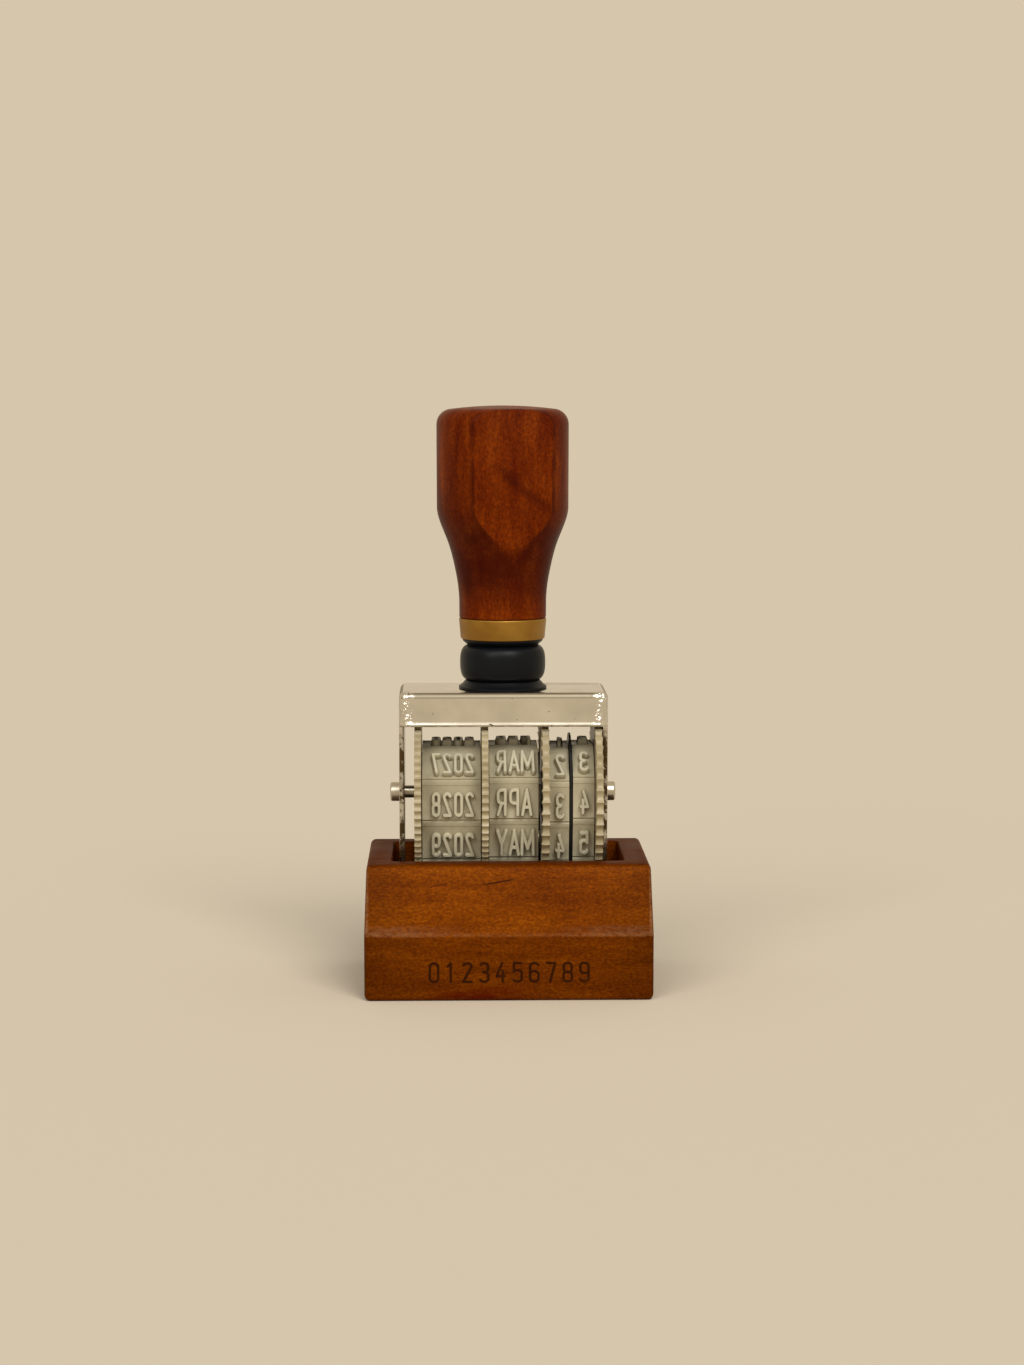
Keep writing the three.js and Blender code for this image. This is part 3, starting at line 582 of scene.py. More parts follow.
rest = add_block("wooden_rest", REST_LOW, REST_HIGH)
select_in(rest, "VERT")
bpy.ops.mesh.bisect(plane_co=(0, 0, REST_CREASE), plane_no=(0, 0, 1), threshold=CUT_MARGIN)
select_in(rest, "VERT", lambda vertex: near(vertex.co.z, REST_HIGH.z))
top_share = (REST_HIGH.y - REST_SLOPE_RUN) / REST_HIGH.y
end_share = (REST_HIGH.x - REST_END_RUN) / REST_HIGH.x
bpy.ops.transform.resize(value=(end_share, top_share, 1), center_override=(0, 0, REST_HIGH.z))
stop_editing()


def rounded(edge):
    """Every edge but the two that cross the ends at the crease."""
    first, second = ends(rest, edge)
    return not (near(first.x, second.x) and near(first.z, REST_CREASE) and near(second.z, REST_CREASE))


select_in(rest, "EDGE", rounded)
bpy.ops.mesh.bevel(offset=EDGE_ROUND, segments=4, affect="EDGES")
stop_editing()
print("top depth", round(2 * REST_HIGH.y * top_share / MM, 1), "mm")

# %% Outline of the pocket
POCKET_ROUND = 1.0 * MM
RIM_ROUND = 0.35 * MM
opening_x = REST_HIGH.x - REST_END_WALL + RIM_ROUND
opening_y = REST_HIGH.y * top_share - REST_SIDE_WALL + RIM_ROUND
top_face = max(rest.data.polygons, key=lambda face: face.center.z)
top_x, top_y = (max(rest.data.vertices[i].co[axis] for i in top_face.vertices) for axis in (0, 1))
inset = top_y - opening_y
select_in(rest, "FACE", lambda face: near(face.center.z, REST_HIGH.z))
bpy.ops.mesh.inset(thickness=inset, use_even_offset=True)
bpy.ops.transform.resize(value=(opening_x / (top_x - inset), 1, 1), center_override=(0, 0, REST_HIGH.z))
select_in(rest, "VERT", lambda vertex: near(vertex.co.z, REST_HIGH.z) and near(abs(vertex.co.x), opening_x))
bpy.ops.mesh.bevel(offset=POCKET_ROUND + RIM_ROUND, segments=6, affect="VERTICES")
print("opening", round(2 * opening_x / MM, 1), "by", round(2 * opening_y / MM, 1), "mm")

# %% Rim and pocket
REST_FLOOR = 7.2 * MM
RIM_STEPS = 3

select_in(rest, "FACE", lambda face: near(face.center.z, REST_HIGH.z)
          and near(face.center.length, REST_HIGH.z))
inward, down = 0, 0
for step in range(1, RIM_STEPS + 1):
    angle = math.pi / 2 * step / RIM_STEPS
    next_inward, next_down = RIM_ROUND * math.sin(angle), RIM_ROUND * (1 - math.cos(angle))
    bpy.ops.mesh.inset(thickness=next_inward - inward, depth=down - next_down, use_even_offset=True)
    inward, down = next_inward, next_down
extrude_by(0, 0, REST_FLOOR - REST_HIGH.z + RIM_ROUND)
close_up(rest)
smooth(rest, 40)
dress(rest, rest_wood, "rest", "rest_wood", "rest_block")

# %% [markdown]
# ## Figures from strokes
#
# The numerals and the raised type are condensed figures, drawn with one even stroke. Text from a
# font would be quick, but its thin joins close up when they are given sloping sides. So each figure
# is drawn from a few strokes on a grid that is one unit wide and one unit high, with round ends and
# round bends. A stroke is a curve with a section as its bevel. One exact union turns the strokes of
# a figure into a single closed solid, which is copied wherever the figure stands.

# %% Outlines of the figures
BEND_SHARE = 0.16
BEND_STEP = 20


def bend(x, y, start, end, across=0.5):
    """Points on a round stretch of a stroke. Angles are in degrees, 0 to the right and 90 upwards."""
    steps = max(3, round(abs(end - start) / BEND_STEP))
    angles = [math.radians(start + (end - start) * step / steps) for step in range(steps + 1)]
    return [(x + across * math.cos(angle), y + BEND_SHARE * math.sin(angle)) for angle in angles]


def oval(low, high, across=0.5):
    """A closed stroke with round ends and straight sides."""
    points = bend(0, high - BEND_SHARE, 180, 0, across) + bend(0, low + BEND_SHARE, 0, -180, across)
    return points + points[:1]


def bowl(low, high, across=0.45):
    """An open stroke that bulges to the right of an upright."""
    upper = bend(0, high - BEND_SHARE, 90, 0, across)
    lower = bend(0, low + BEND_SHARE, 0, -90, across)
    return [(-0.4, high), *upper, *lower, (-0.4, low)]


HIGH, LOW = 1 - BEND_SHARE, BEND_SHARE
STEM = [(-0.4, 0), (-0.4, 1)]
STROKES = {
    "0": [oval(0, 1)],
    "1": [[(0, 0), (0, 1)], [(0, 1), (-0.32, 0.84)]],
    "2": [bend(0, HIGH, 160, -30) + [(-0.5, 0)], [(-0.5, 0), (0.5, 0)]],
    "3": [bend(0, HIGH, 155, 0, 0.48) + bend(0, 0.53 + LOW, 0, -90, 0.48) + [(-0.15, 0.53)],
          bend(0, 0.5 - LOW, 90, 0) + bend(0, LOW, 0, -155)],
    "4": [[(0.15, 1), (-0.5, 0.3)], [(-0.5, 0.3), (0.5, 0.3)], [(0.22, 0.6), (0.22, 0)]],
    "5": [[(0.45, 1), (-0.42, 1)], [(-0.42, 1), (-0.44, 0.52)],
          bend(0, 0.62 - LOW, 150, 0) + bend(0, LOW, 0, -155)],
    "6": [bend(0, HIGH, 20, 180) + [(-0.5, 0.3)], oval(0, 0.56)],
    "7": [[(-0.5, 1), (0.5, 1)], [(0.5, 1), (-0.1, 0)]],
    "8": [oval(0.49, 1, 0.47), oval(0, 0.53)],
    "9": [bend(0, LOW, -160, 0) + [(0.5, 0.7)], oval(0.44, 1)],
    "A": [[(-0.5, 0), (0, 1)], [(0, 1), (0.5, 0)], [(-0.34, 0.3), (0.34, 0.3)]],
    "B": [STEM, bowl(0.52, 1, 0.4), bowl(0, 0.52)],
    "C": [bend(0, HIGH, 20, 180) + bend(0, LOW, 180, 340)],
    "D": [STEM, bowl(0, 1)],
    "E": [STEM, [(-0.4, 1), (0.4, 1)], [(-0.4, 0.52), (0.3, 0.52)], [(-0.4, 0), (0.4, 0)]],
    "F": [STEM, [(-0.4, 1), (0.4, 1)], [(-0.4, 0.52), (0.3, 0.52)]],
    "G": [bend(0, HIGH, 20, 180) + bend(0, LOW, 180, 360) + [(0.5, 0.45)], [(0.5, 0.45), (0.1, 0.45)]],
    "J": [[(0.35, 1)] + bend(-0.05, LOW, 0, -160, 0.4)],
    "L": [STEM, [(-0.4, 0), (0.4, 0)]],
    "M": [[(-0.8, 0), (-0.74, 1)], [(-0.74, 1), (-0.12, 0.25)], [(-0.12, 0.25), (0.5, 1)],
          [(0.5, 1), (0.56, 0)]],
    "N": [[(-0.45, 0), (-0.45, 1)], [(-0.45, 1), (0.45, 0)], [(0.45, 0), (0.45, 1)]],
    "O": [oval(0, 1)],
    "P": [STEM, bowl(0.46, 1)],
    "R": [STEM, bowl(0.46, 1), [(0.02, 0.46), (0.45, 0)]],
    "S": [bend(0, HIGH, 25, 180) + bend(0, 0.51 + LOW, 180, 270) + bend(0, 0.51 - LOW, 90, 0)
          + bend(0, LOW, 0, -155)],
    "T": [[(-0.5, 1), (0.5, 1)], [(0, 1), (0, 0)]],
    "U": [[(-0.45, 1)] + bend(0, LOW, 180, 360, 0.45) + [(0.45, 1)]],
    "V": [[(-0.5, 1), (0, 0)], [(0, 0), (0.5, 1)]],
    "Y": [[(-0.5, 1), (0, 0.45)], [(0.5, 1), (0, 0.45)], [(0, 0.45), (0, 0)]],
}
print("figures", "".join(STROKES))

# %% One stroke
END_SIDES = 16


def stroke_bevel(section):
    """A closed curve for a path's bevel. The section is a list of half width and height pairs."""
    outline = list(section) + [(-half, height) for half, height in reversed(section)]
    select_nothing()
    bpy.ops.mesh.primitive_circle_add(vertices=len(outline), radius=1)
    made = bpy.context.object
    for vertex, (across, up) in zip(made.data.vertices, outline):
        vertex.co = (across, up, 0)
    select_only(made)
    bpy.ops.object.convert(target="CURVE")
    return bpy.context.object


def copy_of(piece, matrix):
    made = piece.copy()
    made.data = piece.data.copy()
    made.data.transform(matrix)
    bpy.context.collection.objects.link(made)
    return made


def remove(*pieces):
    for piece in pieces:
        bpy.data.objects.remove(piece)


def bar(points, bevel):
    """A bar along the points, closed to a ring where the last point is the first."""
    ring = points[0] == points[-1]
    path = bpy.data.curves.new("stroke", "CURVE")
    path.dimensions = "3D"
    path.twist_mode = "Z_UP"
    path.use_fill_caps = True
    path.bevel_mode = "OBJECT"
    path.bevel_object = bevel
    spline = path.splines.new("POLY")
    spline.use_cyclic_u = ring
    kept = points[:-1] if ring else points
    spline.points.add(len(kept) - 1)
    for point, place in zip(spline.points, kept):
        point.co = (*place, 1)
    made = bpy.data.objects.new("stroke", path)
    bpy.context.collection.objects.link(made)
    select_only(made)
    bpy.ops.object.convert(target="MESH")
    close_up(bpy.context.object)
    return bpy.context.object

# %% Whole figures
def draw_figures(signs, width, height, section):
    """One solid for each sign, standing on Z = 0 with its middle at the origin."""
    bevel = stroke_bevel(section)
    end = turn("stroke_end", section, 0, sides=END_SIDES)
    end.data.transform(Matrix.Rotation(math.pi / END_SIDES, 4, "Z"))
    drawn = {}
    for sign in sorted(set(signs)):
        parts = []
        loose_ends = set()
        for stroke in STROKES[sign]:
            points = [(x * width, (y - 0.5) * height, 0) for x, y in stroke]
            parts.append(bar(points, bevel))
            if points[0] != points[-1]:
                loose_ends |= {points[0], points[-1]}
        parts += [copy_of(end, Matrix.Translation(place)) for place in sorted(loose_ends)]
        select_only(*parts)
        if len(parts) > 1:
            bpy.ops.object.join()
            select_in(bpy.context.object, "VERT")
            bpy.ops.mesh.intersect_boolean(operation="UNION", use_self=True, solver="EXACT")
            stop_editing()
        drawn[sign] = bpy.context.object
    remove(bevel, end)
    print("drew", "".join(drawn), "with", sum(len(piece.data.polygons) for piece in drawn.values()), "faces")
    return drawn


def set_figures(name, drawn, places):
    """Copies of the figures joined to one piece. Each place is a sign and the matrix that lays it."""
    select_only(*[copy_of(drawn[sign], matrix) for sign, matrix in places])
    bpy.ops.object.join()
    joined = bpy.context.object
    joined.name = name
    select_in(joined, "VERT")
    bpy.ops.mesh.normals_make_consistent(inside=False)
    smooth(joined, 30)
    remove(*drawn.values())
    return joined

# %% [markdown]
# The front of the rest carries a short row of burnt characters. Plain numerals stand there, in the
# same scale and colour. They are drawn flat, given a little thickness, and stood up against the
# face. They are sunk in the wood but for a few hundredths of a millimetre.

# %% Burnt numerals
NUMERALS = "0123456789"
NUMERAL_WIDTH = 1.3 * MM
NUMERAL_HEIGHT = 2.95 * MM
NUMERAL_PITCH = 2.62 * MM
NUMERAL_STROKE = 0.4 * MM
NUMERAL_Z = 4.6 * MM
BURN_DEPTH = 0.3 * MM
BURN_PROUD = 0.02 * MM
BURN_TAPER = 0.04 * MM

burn_section = [(NUMERAL_STROKE / 2 + BURN_TAPER, 0), (NUMERAL_STROKE / 2, BURN_DEPTH)]
stand_up = Matrix.Rotation(math.pi / 2, 4, "X")
places = []
for index, sign in enumerate(NUMERALS):
    across = (index - (len(NUMERALS) - 1) / 2) * NUMERAL_PITCH
    place = Vector((across, REST_LOW.y + BURN_DEPTH - BURN_PROUD, NUMERAL_Z))
    places.append((sign, Matrix.Translation(place) @ stand_up))
drawn = draw_figures(NUMERALS, NUMERAL_WIDTH, NUMERAL_HEIGHT, burn_section)
numerals = set_figures("burnt_numerals", drawn, places)
dress(numerals, burnt, "rest", "rest_wood")

# %% [markdown]
# ## The handle
#
# The handle is turned, and then flattened for the thumb on opposite sides. The profile goes up from
# the stem through a hollow flare to a straight grip and over the rounded end. Two cuts with bisect
# make the flats, which end below in a point where the flare narrows under them. Each cut goes a
# hair too deep. Insetting the flat and raising it again leaves a soft edge, as sanding does.

# %% Turned handle
STEM_RADIUS = 6.95 * MM
STEM_STRAIGHT = 2.9 * MM
FLARE_LENGTH = 14.6 * MM
GRIP_RADIUS = 10.55 * MM
GRIP_END_ROUND = 2.5 * MM
CROWN_RISE = 0.5 * MM
STEM_BREAK = 0.15 * MM
STEM_GAP = 0.05 * MM
FLARE_SHARES = [
    (0, 0), (0.12, 0.035), (0.22, 0.09), (0.32, 0.17), (0.43, 0.265), (0.54, 0.375), (0.65, 0.52),
    (0.76, 0.71), (0.87, 0.885), (0.95, 0.975), (1, 1),
]
stem_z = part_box("ferrule")[1].z + STEM_GAP
grip_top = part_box("handle")[1].z


def flare_share(share):
    """The step from stem to grip at a share of the flare's length, smoothed between the shares given."""
    for (start, from_step), (end, to_step) in zip(FLARE_SHARES, FLARE_SHARES[1:]):
        if share <= end:
            return from_step + (to_step - from_step) * (share - start) / (end - start)
    return 1


FLARE_STEPS = 40
FLARE_BLUR = 0.06
profile = [(STEM_RADIUS - STEM_BREAK, stem_z), (STEM_RADIUS, stem_z + STEM_BREAK)]
for step in range(FLARE_STEPS + 1):
    share = step / FLARE_STEPS
    blurred = [flare_share(min(max(share + offset * FLARE_BLUR, 0), 1)) for offset in (-1, -0.5, 0, 0.5, 1)]
    radius = STEM_RADIUS + (GRIP_RADIUS - STEM_RADIUS) * sum(blurred) / len(blurred)
    profile.append((radius, stem_z + STEM_STRAIGHT + FLARE_LENGTH * share))
end_height = grip_top - CROWN_RISE - GRIP_END_ROUND
profile += arc(GRIP_RADIUS - GRIP_END_ROUND, end_height, GRIP_END_ROUND, 0, 80, 8)
crown_radius, crown_height = profile[-1]
for share in (0.75, 0.5, 0.25, 0.05):
    profile.append((crown_radius * share, crown_height + (grip_top - crown_height) * (1 - share ** 2)))
handle = turn("turned_handle", profile, STAMP_X)
print("handle rings", len(profile))

# %% Thumb flats
FLAT_EDGE_ROUND = 0.16 * MM
FLAT_EDGE_DROP = 0.05 * MM
LEAST_FLAT = 100 * MM * MM
for side in (1, -1):
    facing = flat_normal * side
    cut_point = Vector((STAMP_X, 0, 0)) + facing * (FLAT_DISTANCE - FLAT_EDGE_DROP)
    select_in(handle, "VERT")
    bpy.ops.mesh.bisect(plane_co=cut_point, plane_no=facing, use_fill=True, clear_outer=True,
                        threshold=CUT_MARGIN)
    select_in(handle, "FACE", lambda face: face.normal.dot(facing) > 0.999 and face.area > LEAST_FLAT)
    bpy.ops.mesh.inset(thickness=FLAT_EDGE_ROUND, depth=FLAT_EDGE_DROP, use_even_offset=True)
close_up(handle)
smooth(handle, 30)
dress(handle, handle_wood, "stamp", "grip_wood", "handle")

# %% [markdown]
# ## Ferrule and collar
#
# The brass ring keeps the stem from splitting. It is very slightly wider at the top, with its edges
# broken. The black collar under it is a full round bead between a short neck and a foot that
# spreads on the frame like the foot of a bottle.

# %% Ferrule
ferrule_low, ferrule_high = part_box("ferrule")
FERRULE_FOOT = 6.75 * MM
FERRULE_TOP = 7 * MM
FERRULE_BORE = 6.3 * MM
EDGE_BREAK = 0.18 * MM
lower_edge = [(FERRULE_FOOT - EDGE_BREAK * out, ferrule_low.z + EDGE_BREAK * up)
              for out, up in ((1, 0), (1 / 3, 1 / 3), (0, 1))]
upper_edge = [(FERRULE_TOP - EDGE_BREAK * out, ferrule_high.z - EDGE_BREAK * down)
              for out, down in ((0, 1), (1 / 3, 1 / 3), (1, 0))]
profile = [(FERRULE_BORE, ferrule_low.z), *lower_edge, *upper_edge, (FERRULE_BORE, ferrule_high.z),
           (FERRULE_BORE, ferrule_low.z)]
ferrule = turn("brass_ferrule", profile, STAMP_X, closed=True)
smooth(ferrule, 25)
dress(ferrule, brass, "stamp", "brass", "ferrule")

# %% Collar
collar_low, collar_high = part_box("collar")
COLLAR_BORE = 1.72 * MM
NECK_RADIUS = 6 * MM
NECK_TOP = 6.5 * MM
FOOT_RADIUS = 7.05 * MM
FOOT_EDGE = 0.3 * MM
BEAD_RADIUS = 6.85 * MM
BEAD_BULGE = 1.5 * MM
BEAD_HEIGHT = 5.7 * MM
FOOT_HEIGHT = 1.25 * MM
FOOT_CURVE = 0.7
BEAD_CURVE = 1.35
BEAD_STEPS = 24
profile = [(COLLAR_BORE, collar_low.z), (FOOT_RADIUS, collar_low.z), (FOOT_RADIUS, collar_low.z + FOOT_EDGE)]
for share in (0.25, 0.5, 0.75, 1):
    profile.append((FOOT_RADIUS + (NECK_RADIUS - FOOT_RADIUS) * share ** FOOT_CURVE,
                    collar_low.z + FOOT_EDGE + (FOOT_HEIGHT - FOOT_EDGE) * share))
for step in range(1, BEAD_STEPS):
    angle = -math.pi / 2 + math.pi * step / BEAD_STEPS
    profile.append((BEAD_RADIUS - BEAD_BULGE * (1 - math.cos(angle)) ** BEAD_CURVE,
                    collar_low.z + FOOT_HEIGHT + BEAD_HEIGHT * (1 + math.sin(angle)) / 2))
profile += [(NECK_TOP - 0.1 * MM, collar_high.z - 0.3 * MM), (NECK_TOP, collar_high.z),
            (COLLAR_BORE, collar_high.z), (COLLAR_BORE, collar_low.z)]
collar = turn("bead_collar", profile, STAMP_X, closed=True)
smooth(collar, 30)
dress(collar, black_satin, "stamp", "black_plastic", "collar")

# %% [markdown]
# ## The plated frame
#
# The frame is drawn from one sheet, so it is modelled as a sheet. A block without its bottom is the
# outside of the cap. Its corners are rounded while they are simple. The lower edge of each end is
# pulled down to the axle and again to the foot, and that makes the legs. Only then does the whole
# sheet get its thickness, inwards, and a fine round on its cut edges.

# %% Cap
CAP_CORNER = 1.3 * MM
CAP_EDGE = 0.9 * MM
AXLE_Z = (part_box("axle")[0].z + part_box("axle")[1].z) / 2
sheet = add_block("plated_frame", (FRAME_LOW.x, FRAME_LOW.y, LIP_Z), FRAME_HIGH)
select_in(sheet, "FACE", lambda face: near(face.center.z, LIP_Z))
bpy.ops.mesh.delete(type="FACE")


def upright(edge):
    first, second = ends(sheet, edge)
    return abs(first.z - second.z) > MM


def on_top(edge):
    return all(near(point.z, FRAME_HIGH.z) for point in ends(sheet, edge))


select_in(sheet, "EDGE", upright)
bpy.ops.mesh.bevel(offset=CAP_CORNER, segments=8, affect="EDGES")
select_in(sheet, "EDGE", on_top)
bpy.ops.mesh.bevel(offset=CAP_EDGE, segments=6, affect="EDGES")
print("cap", [round(v / MM, 1) for v in FRAME_HIGH - FRAME_LOW])

# %% Legs
LEG_FOOT_WIDTH = 9 * MM
LEG_FOOT_ROUND = 1.5 * MM


def end_of_lip(edge):
    first, second = ends(sheet, edge)
    flat_end = near(abs(first.x - STAMP_X), FRAME_HALF) and near(first.x, second.x)
    return flat_end and near(first.z, LIP_Z) and near(second.z, LIP_Z)


leg_half = (FRAME_HIGH.y - FRAME_LOW.y) / 2 - CAP_CORNER
select_in(sheet, "EDGE", end_of_lip)
extrude_by(0, 0, AXLE_Z - LIP_Z)
extrude_by(0, 0, FRAME_LOW.z - AXLE_Z)
foot_share = LEG_FOOT_WIDTH / 2 / leg_half
bpy.ops.transform.resize(value=(1, foot_share, 1), center_override=(STAMP_X, 0, FRAME_LOW.z))
select_in(sheet, "VERT", lambda vertex: near(vertex.co.z, FRAME_LOW.z))
bpy.ops.mesh.bevel(offset=LEG_FOOT_ROUND, segments=5, affect="VERTICES")
print("legs reach", round(FRAME_LOW.z / MM, 1), "mm above the table")

# %% Lip and thickness
SHEET = 0.8 * MM
LIP_ROLL = 0.19 * MM
LIP_ROLL_TOP = LIP_Z + 0.75 * MM
LIP_ROLL_MIDDLE = LIP_Z + 0.38 * MM
CUT_EDGE_ROUND = 0.12 * MM
face_y = FRAME_HIGH.y - 0.02 * MM
for side in (-1, 1):
    for cut in (LIP_ROLL_TOP, LIP_ROLL_MIDDLE):
        select_in(sheet, "FACE", lambda face: face.center.y * side > face_y)
        bpy.ops.mesh.bisect(plane_co=(0, 0, cut), plane_no=(0, 0, 1), threshold=CUT_MARGIN)
    select_in(sheet, "VERT", lambda vertex: vertex.co.y * side > face_y
              and near(vertex.co.z, LIP_ROLL_MIDDLE))
    bpy.ops.transform.translate(value=(0, LIP_ROLL * side, 0))
close_up(sheet)
apply_modifier(sheet, "SOLIDIFY", thickness=SHEET, offset=-1, use_even_offset=True)
break_edges(sheet, CUT_EDGE_ROUND, 50)
smooth(sheet, 40)
dress(sheet, plating, "stamp", "chrome", "frame")

# %% [markdown]
# ## The axle
#
# The axle is turned about a line along X. It is turned upright first and then laid down, with its
# head at the left standing a little off the leg. Only its left shoulder and the two heads show.

# %% Axle
SHAFT_RADIUS = 0.75 * MM
SHOULDER_RADIUS = 1 * MM
HEAD_RADIUS = 1.53 * MM
HEAD_LENGTH = 1.5 * MM
HEAD_ROUND = 0.3 * MM
CENTRE_MARK = 0.12 * MM
WHEEL_GAP = 0.15 * MM
axle_low, axle_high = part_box("axle")
shoulder_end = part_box("year_wheel")[0].x - WHEEL_GAP
shaft_start, shaft_end = axle_low.x + HEAD_LENGTH, axle_high.x - HEAD_LENGTH


def lay_along_x(piece):
    """Turns an upright piece so that its Z runs along X through the axle."""
    piece.rotation_euler.y = math.pi / 2
    piece.location.z = AXLE_Z
    apply_place(piece)


profile = [(HEAD_RADIUS * 0.45, axle_low.x + CENTRE_MARK), (HEAD_RADIUS * 0.5, axle_low.x)]
profile += arc(HEAD_RADIUS - HEAD_ROUND, axle_low.x + HEAD_ROUND, HEAD_ROUND, -90, 0, 4)
profile += [(HEAD_RADIUS, shaft_start), (SHOULDER_RADIUS, shaft_start), (SHOULDER_RADIUS, shoulder_end),
            (SHAFT_RADIUS, shoulder_end), (SHAFT_RADIUS, shaft_end), (HEAD_RADIUS, shaft_end)]
profile += arc(HEAD_RADIUS - HEAD_ROUND, axle_high.x - HEAD_ROUND, HEAD_ROUND, 0, 90, 4)
profile += [(HEAD_RADIUS * 0.5, axle_high.x), (HEAD_RADIUS * 0.45, axle_high.x - CENTRE_MARK)]
axle = turn("shouldered_axle", profile, 0, sides=48)
lay_along_x(axle)
smooth(axle, 30)
dress(axle, steel, "stamp", "steel", "axle")

# %% [markdown]
# ## Thumb wheels
#
# A wheel is turned with eight vertices to each tooth, and then all but one of every eight are drawn
# in towards the axle, the middle ones most. That leaves round scallops between sharp tips, which is
# how such a wheel is moulded. The year and month wheels have fine teeth. The two day wheels have
# coarse ones whose tips spread sideways, which gives their edge its wavy look.

# %% Toothed wheel
WHEEL_RADIUS = 13 * MM
WHEEL_RIM = 2.2 * MM
HUB_RADIUS = 3.2 * MM
WHEEL_BORE = 0.85 * MM
DISH = 0.25 * MM
DISH_DRAFT = 0.1 * MM
TIP_BREAK = 0.14 * MM
POINTS_PER_TOOTH = 8
SCALLOP_SHARES = {1: 0.44, 2: 0.75, 3: 0.94, 4: 1.0}
SIDE_SHARE = 0.5
SPREAD_SHARES = {0: 1.0, 1: 0.4}


def wheel_face(face, dish):
    """Half of a wheel's profile, from its bore out to its rim. The dish may be flush with the face."""
    dish_outer = WHEEL_RADIUS - WHEEL_RIM
    return [(WHEEL_BORE, face), (HUB_RADIUS, face), (HUB_RADIUS + DISH_DRAFT, dish),
            (dish_outer - DISH_DRAFT, dish), (dish_outer, face), (WHEEL_RADIUS - TIP_BREAK, face)]


def wheel(node, teeth, depth, dish_side, spread_left, spread_right):
    """A toothed wheel in place of a node. The spreads widen the tips to the left and right."""
    start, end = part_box(node)[0].x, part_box(node)[1].x
    rim = WHEEL_RADIUS
    left, right = (start + DISH, end) if dish_side < 0 else (start, end - DISH)
    profile = [*wheel_face(start, left), (rim, start + TIP_BREAK), (rim, end - TIP_BREAK),
               *reversed(wheel_face(end, right)), (WHEEL_BORE, start)]
    made = turn(node + "_toothed", profile, 0, sides=teeth * POINTS_PER_TOOTH, closed=True)
    points = [vertex.co.copy() for vertex in made.data.vertices]
    steps = [round(math.atan2(p.y, p.x) / (2 * math.pi) * teeth * POINTS_PER_TOOTH) for p in points]
    reaches = [math.hypot(p.x, p.y) for p in points]

    def pick(step, outer, side=None):
        """Selects the rim's vertices at that step from a tip, on its face or on its side edges."""
        def test(vertex):
            place = steps[vertex.index] % POINTS_PER_TOOTH
            on_edge = rim - TIP_BREAK * 1.5 < reaches[vertex.index] < rim - TIP_BREAK / 2
            on_face = reaches[vertex.index] > rim - TIP_BREAK / 2
            beside = side is None or abs(points[vertex.index].z - side) < TIP_BREAK * 1.5
            return min(place, POINTS_PER_TOOTH - place) == step and beside and (on_face if outer else on_edge)
        select_in(made, "VERT", test)

    for step, share in SCALLOP_SHARES.items():
        for outer, part in ((True, 1), (False, SIDE_SHARE)):
            pick(step, outer)
            drawn_in = 1 - depth * share * part / rim
            bpy.ops.transform.resize(value=(drawn_in, drawn_in, 1), center_override=(0, 0, start))
    for step, share in SPREAD_SHARES.items():
        for side, spread in ((start, -spread_left), (end, spread_right)):
            pick(step, False, side)
            bpy.ops.transform.translate(value=(0, 0, spread * share))
    lay_along_x(made)
    close_up(made)
    smooth(made, 28)
    dress(made, ivory, node.replace("wheel", "dial"), "ivory_plastic", node)

# %% The four wheels
FINE = (64, 0.45 * MM, -1, 0.03 * MM, 0.03 * MM)
COARSE_TEETH, COARSE_DEPTH = 44, 0.58 * MM
wheel("year_wheel", *FINE)
wheel("month_wheel", *FINE)
wheel("tens_wheel", COARSE_TEETH, COARSE_DEPTH, -1, 0.24 * MM, 0.1 * MM)
wheel("units_wheel", COARSE_TEETH, COARSE_DEPTH, 1, 0.1 * MM, 0.1 * MM)

# %% [markdown]
# ## Rubber bands
#
# A band is a chain of flat panels. Its route goes down the front in straight lines, under the foot,
# up the back and over the drum. The route starts from two driving sizes: the length of a panel and
# the number that would go once round the drum. A strip is made by extruding one edge along the
# route, with a dip at every crease and a fine step near the top of each panel. Solidify then gives
# the strip its thickness inwards.

# %% Route of a band
PANEL = 6.6 * MM
DRUM_PANELS = 8
STRAND_PANELS = 3
BAND_THICKNESS = 1.3 * MM
CREASE_WIDTH = 0.42 * MM
CREASE_DEPTH = 0.32 * MM
LEDGE_PLACE = 0.95 * MM
LEDGE_STEP = 0.07 * MM
LEDGE_RUN = 0.06 * MM
drum_apothem = PANEL / 2 / math.tan(math.pi / DRUM_PANELS)
drum_corner = drum_apothem / math.cos(math.pi / DRUM_PANELS)
foot_drop = AXLE_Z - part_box("year_band")[0].z


def band_corners():
    """Corners of the band's face about the axle in Y and Z, from the front panel's top, down and round."""
    down = [Vector((-drum_apothem, PANEL / 2))]
    foot = Vector((-PANEL / 2, -foot_drop))
    waist = Vector((-drum_apothem, -PANEL / 2))
    down += [waist.lerp(foot, step / STRAND_PANELS) for step in range(STRAND_PANELS + 1)]
    up = [Vector((-corner.x, corner.y)) for corner in reversed(down)]
    over = []
    for step in range(1, DRUM_PANELS // 2 - 1):
        angle = math.pi / DRUM_PANELS + step * 2 * math.pi / DRUM_PANELS
        over.append(Vector((drum_corner * math.cos(angle), drum_corner * math.sin(angle))))
    return down + up + over


def band_panels(slip):
    """Start and end of each panel when the band has slipped that far along its route."""
    corners = band_corners()
    slipped = [here.lerp(there, slip / PANEL) for here, there in zip(corners, corners[1:] + corners[:1])]
    return list(zip(slipped, slipped[1:] + slipped[:1]))


print("panels", len(band_panels(0)), "to a band")

# %% One band
BAND_EDGE_ROUND = 0.07 * MM


def panel_axes(start, end):
    """Unit vectors along a panel, from its top to its foot, and outwards from its face."""
    along = (end - start).normalized()
    return along, Vector((along.y, -along.x))


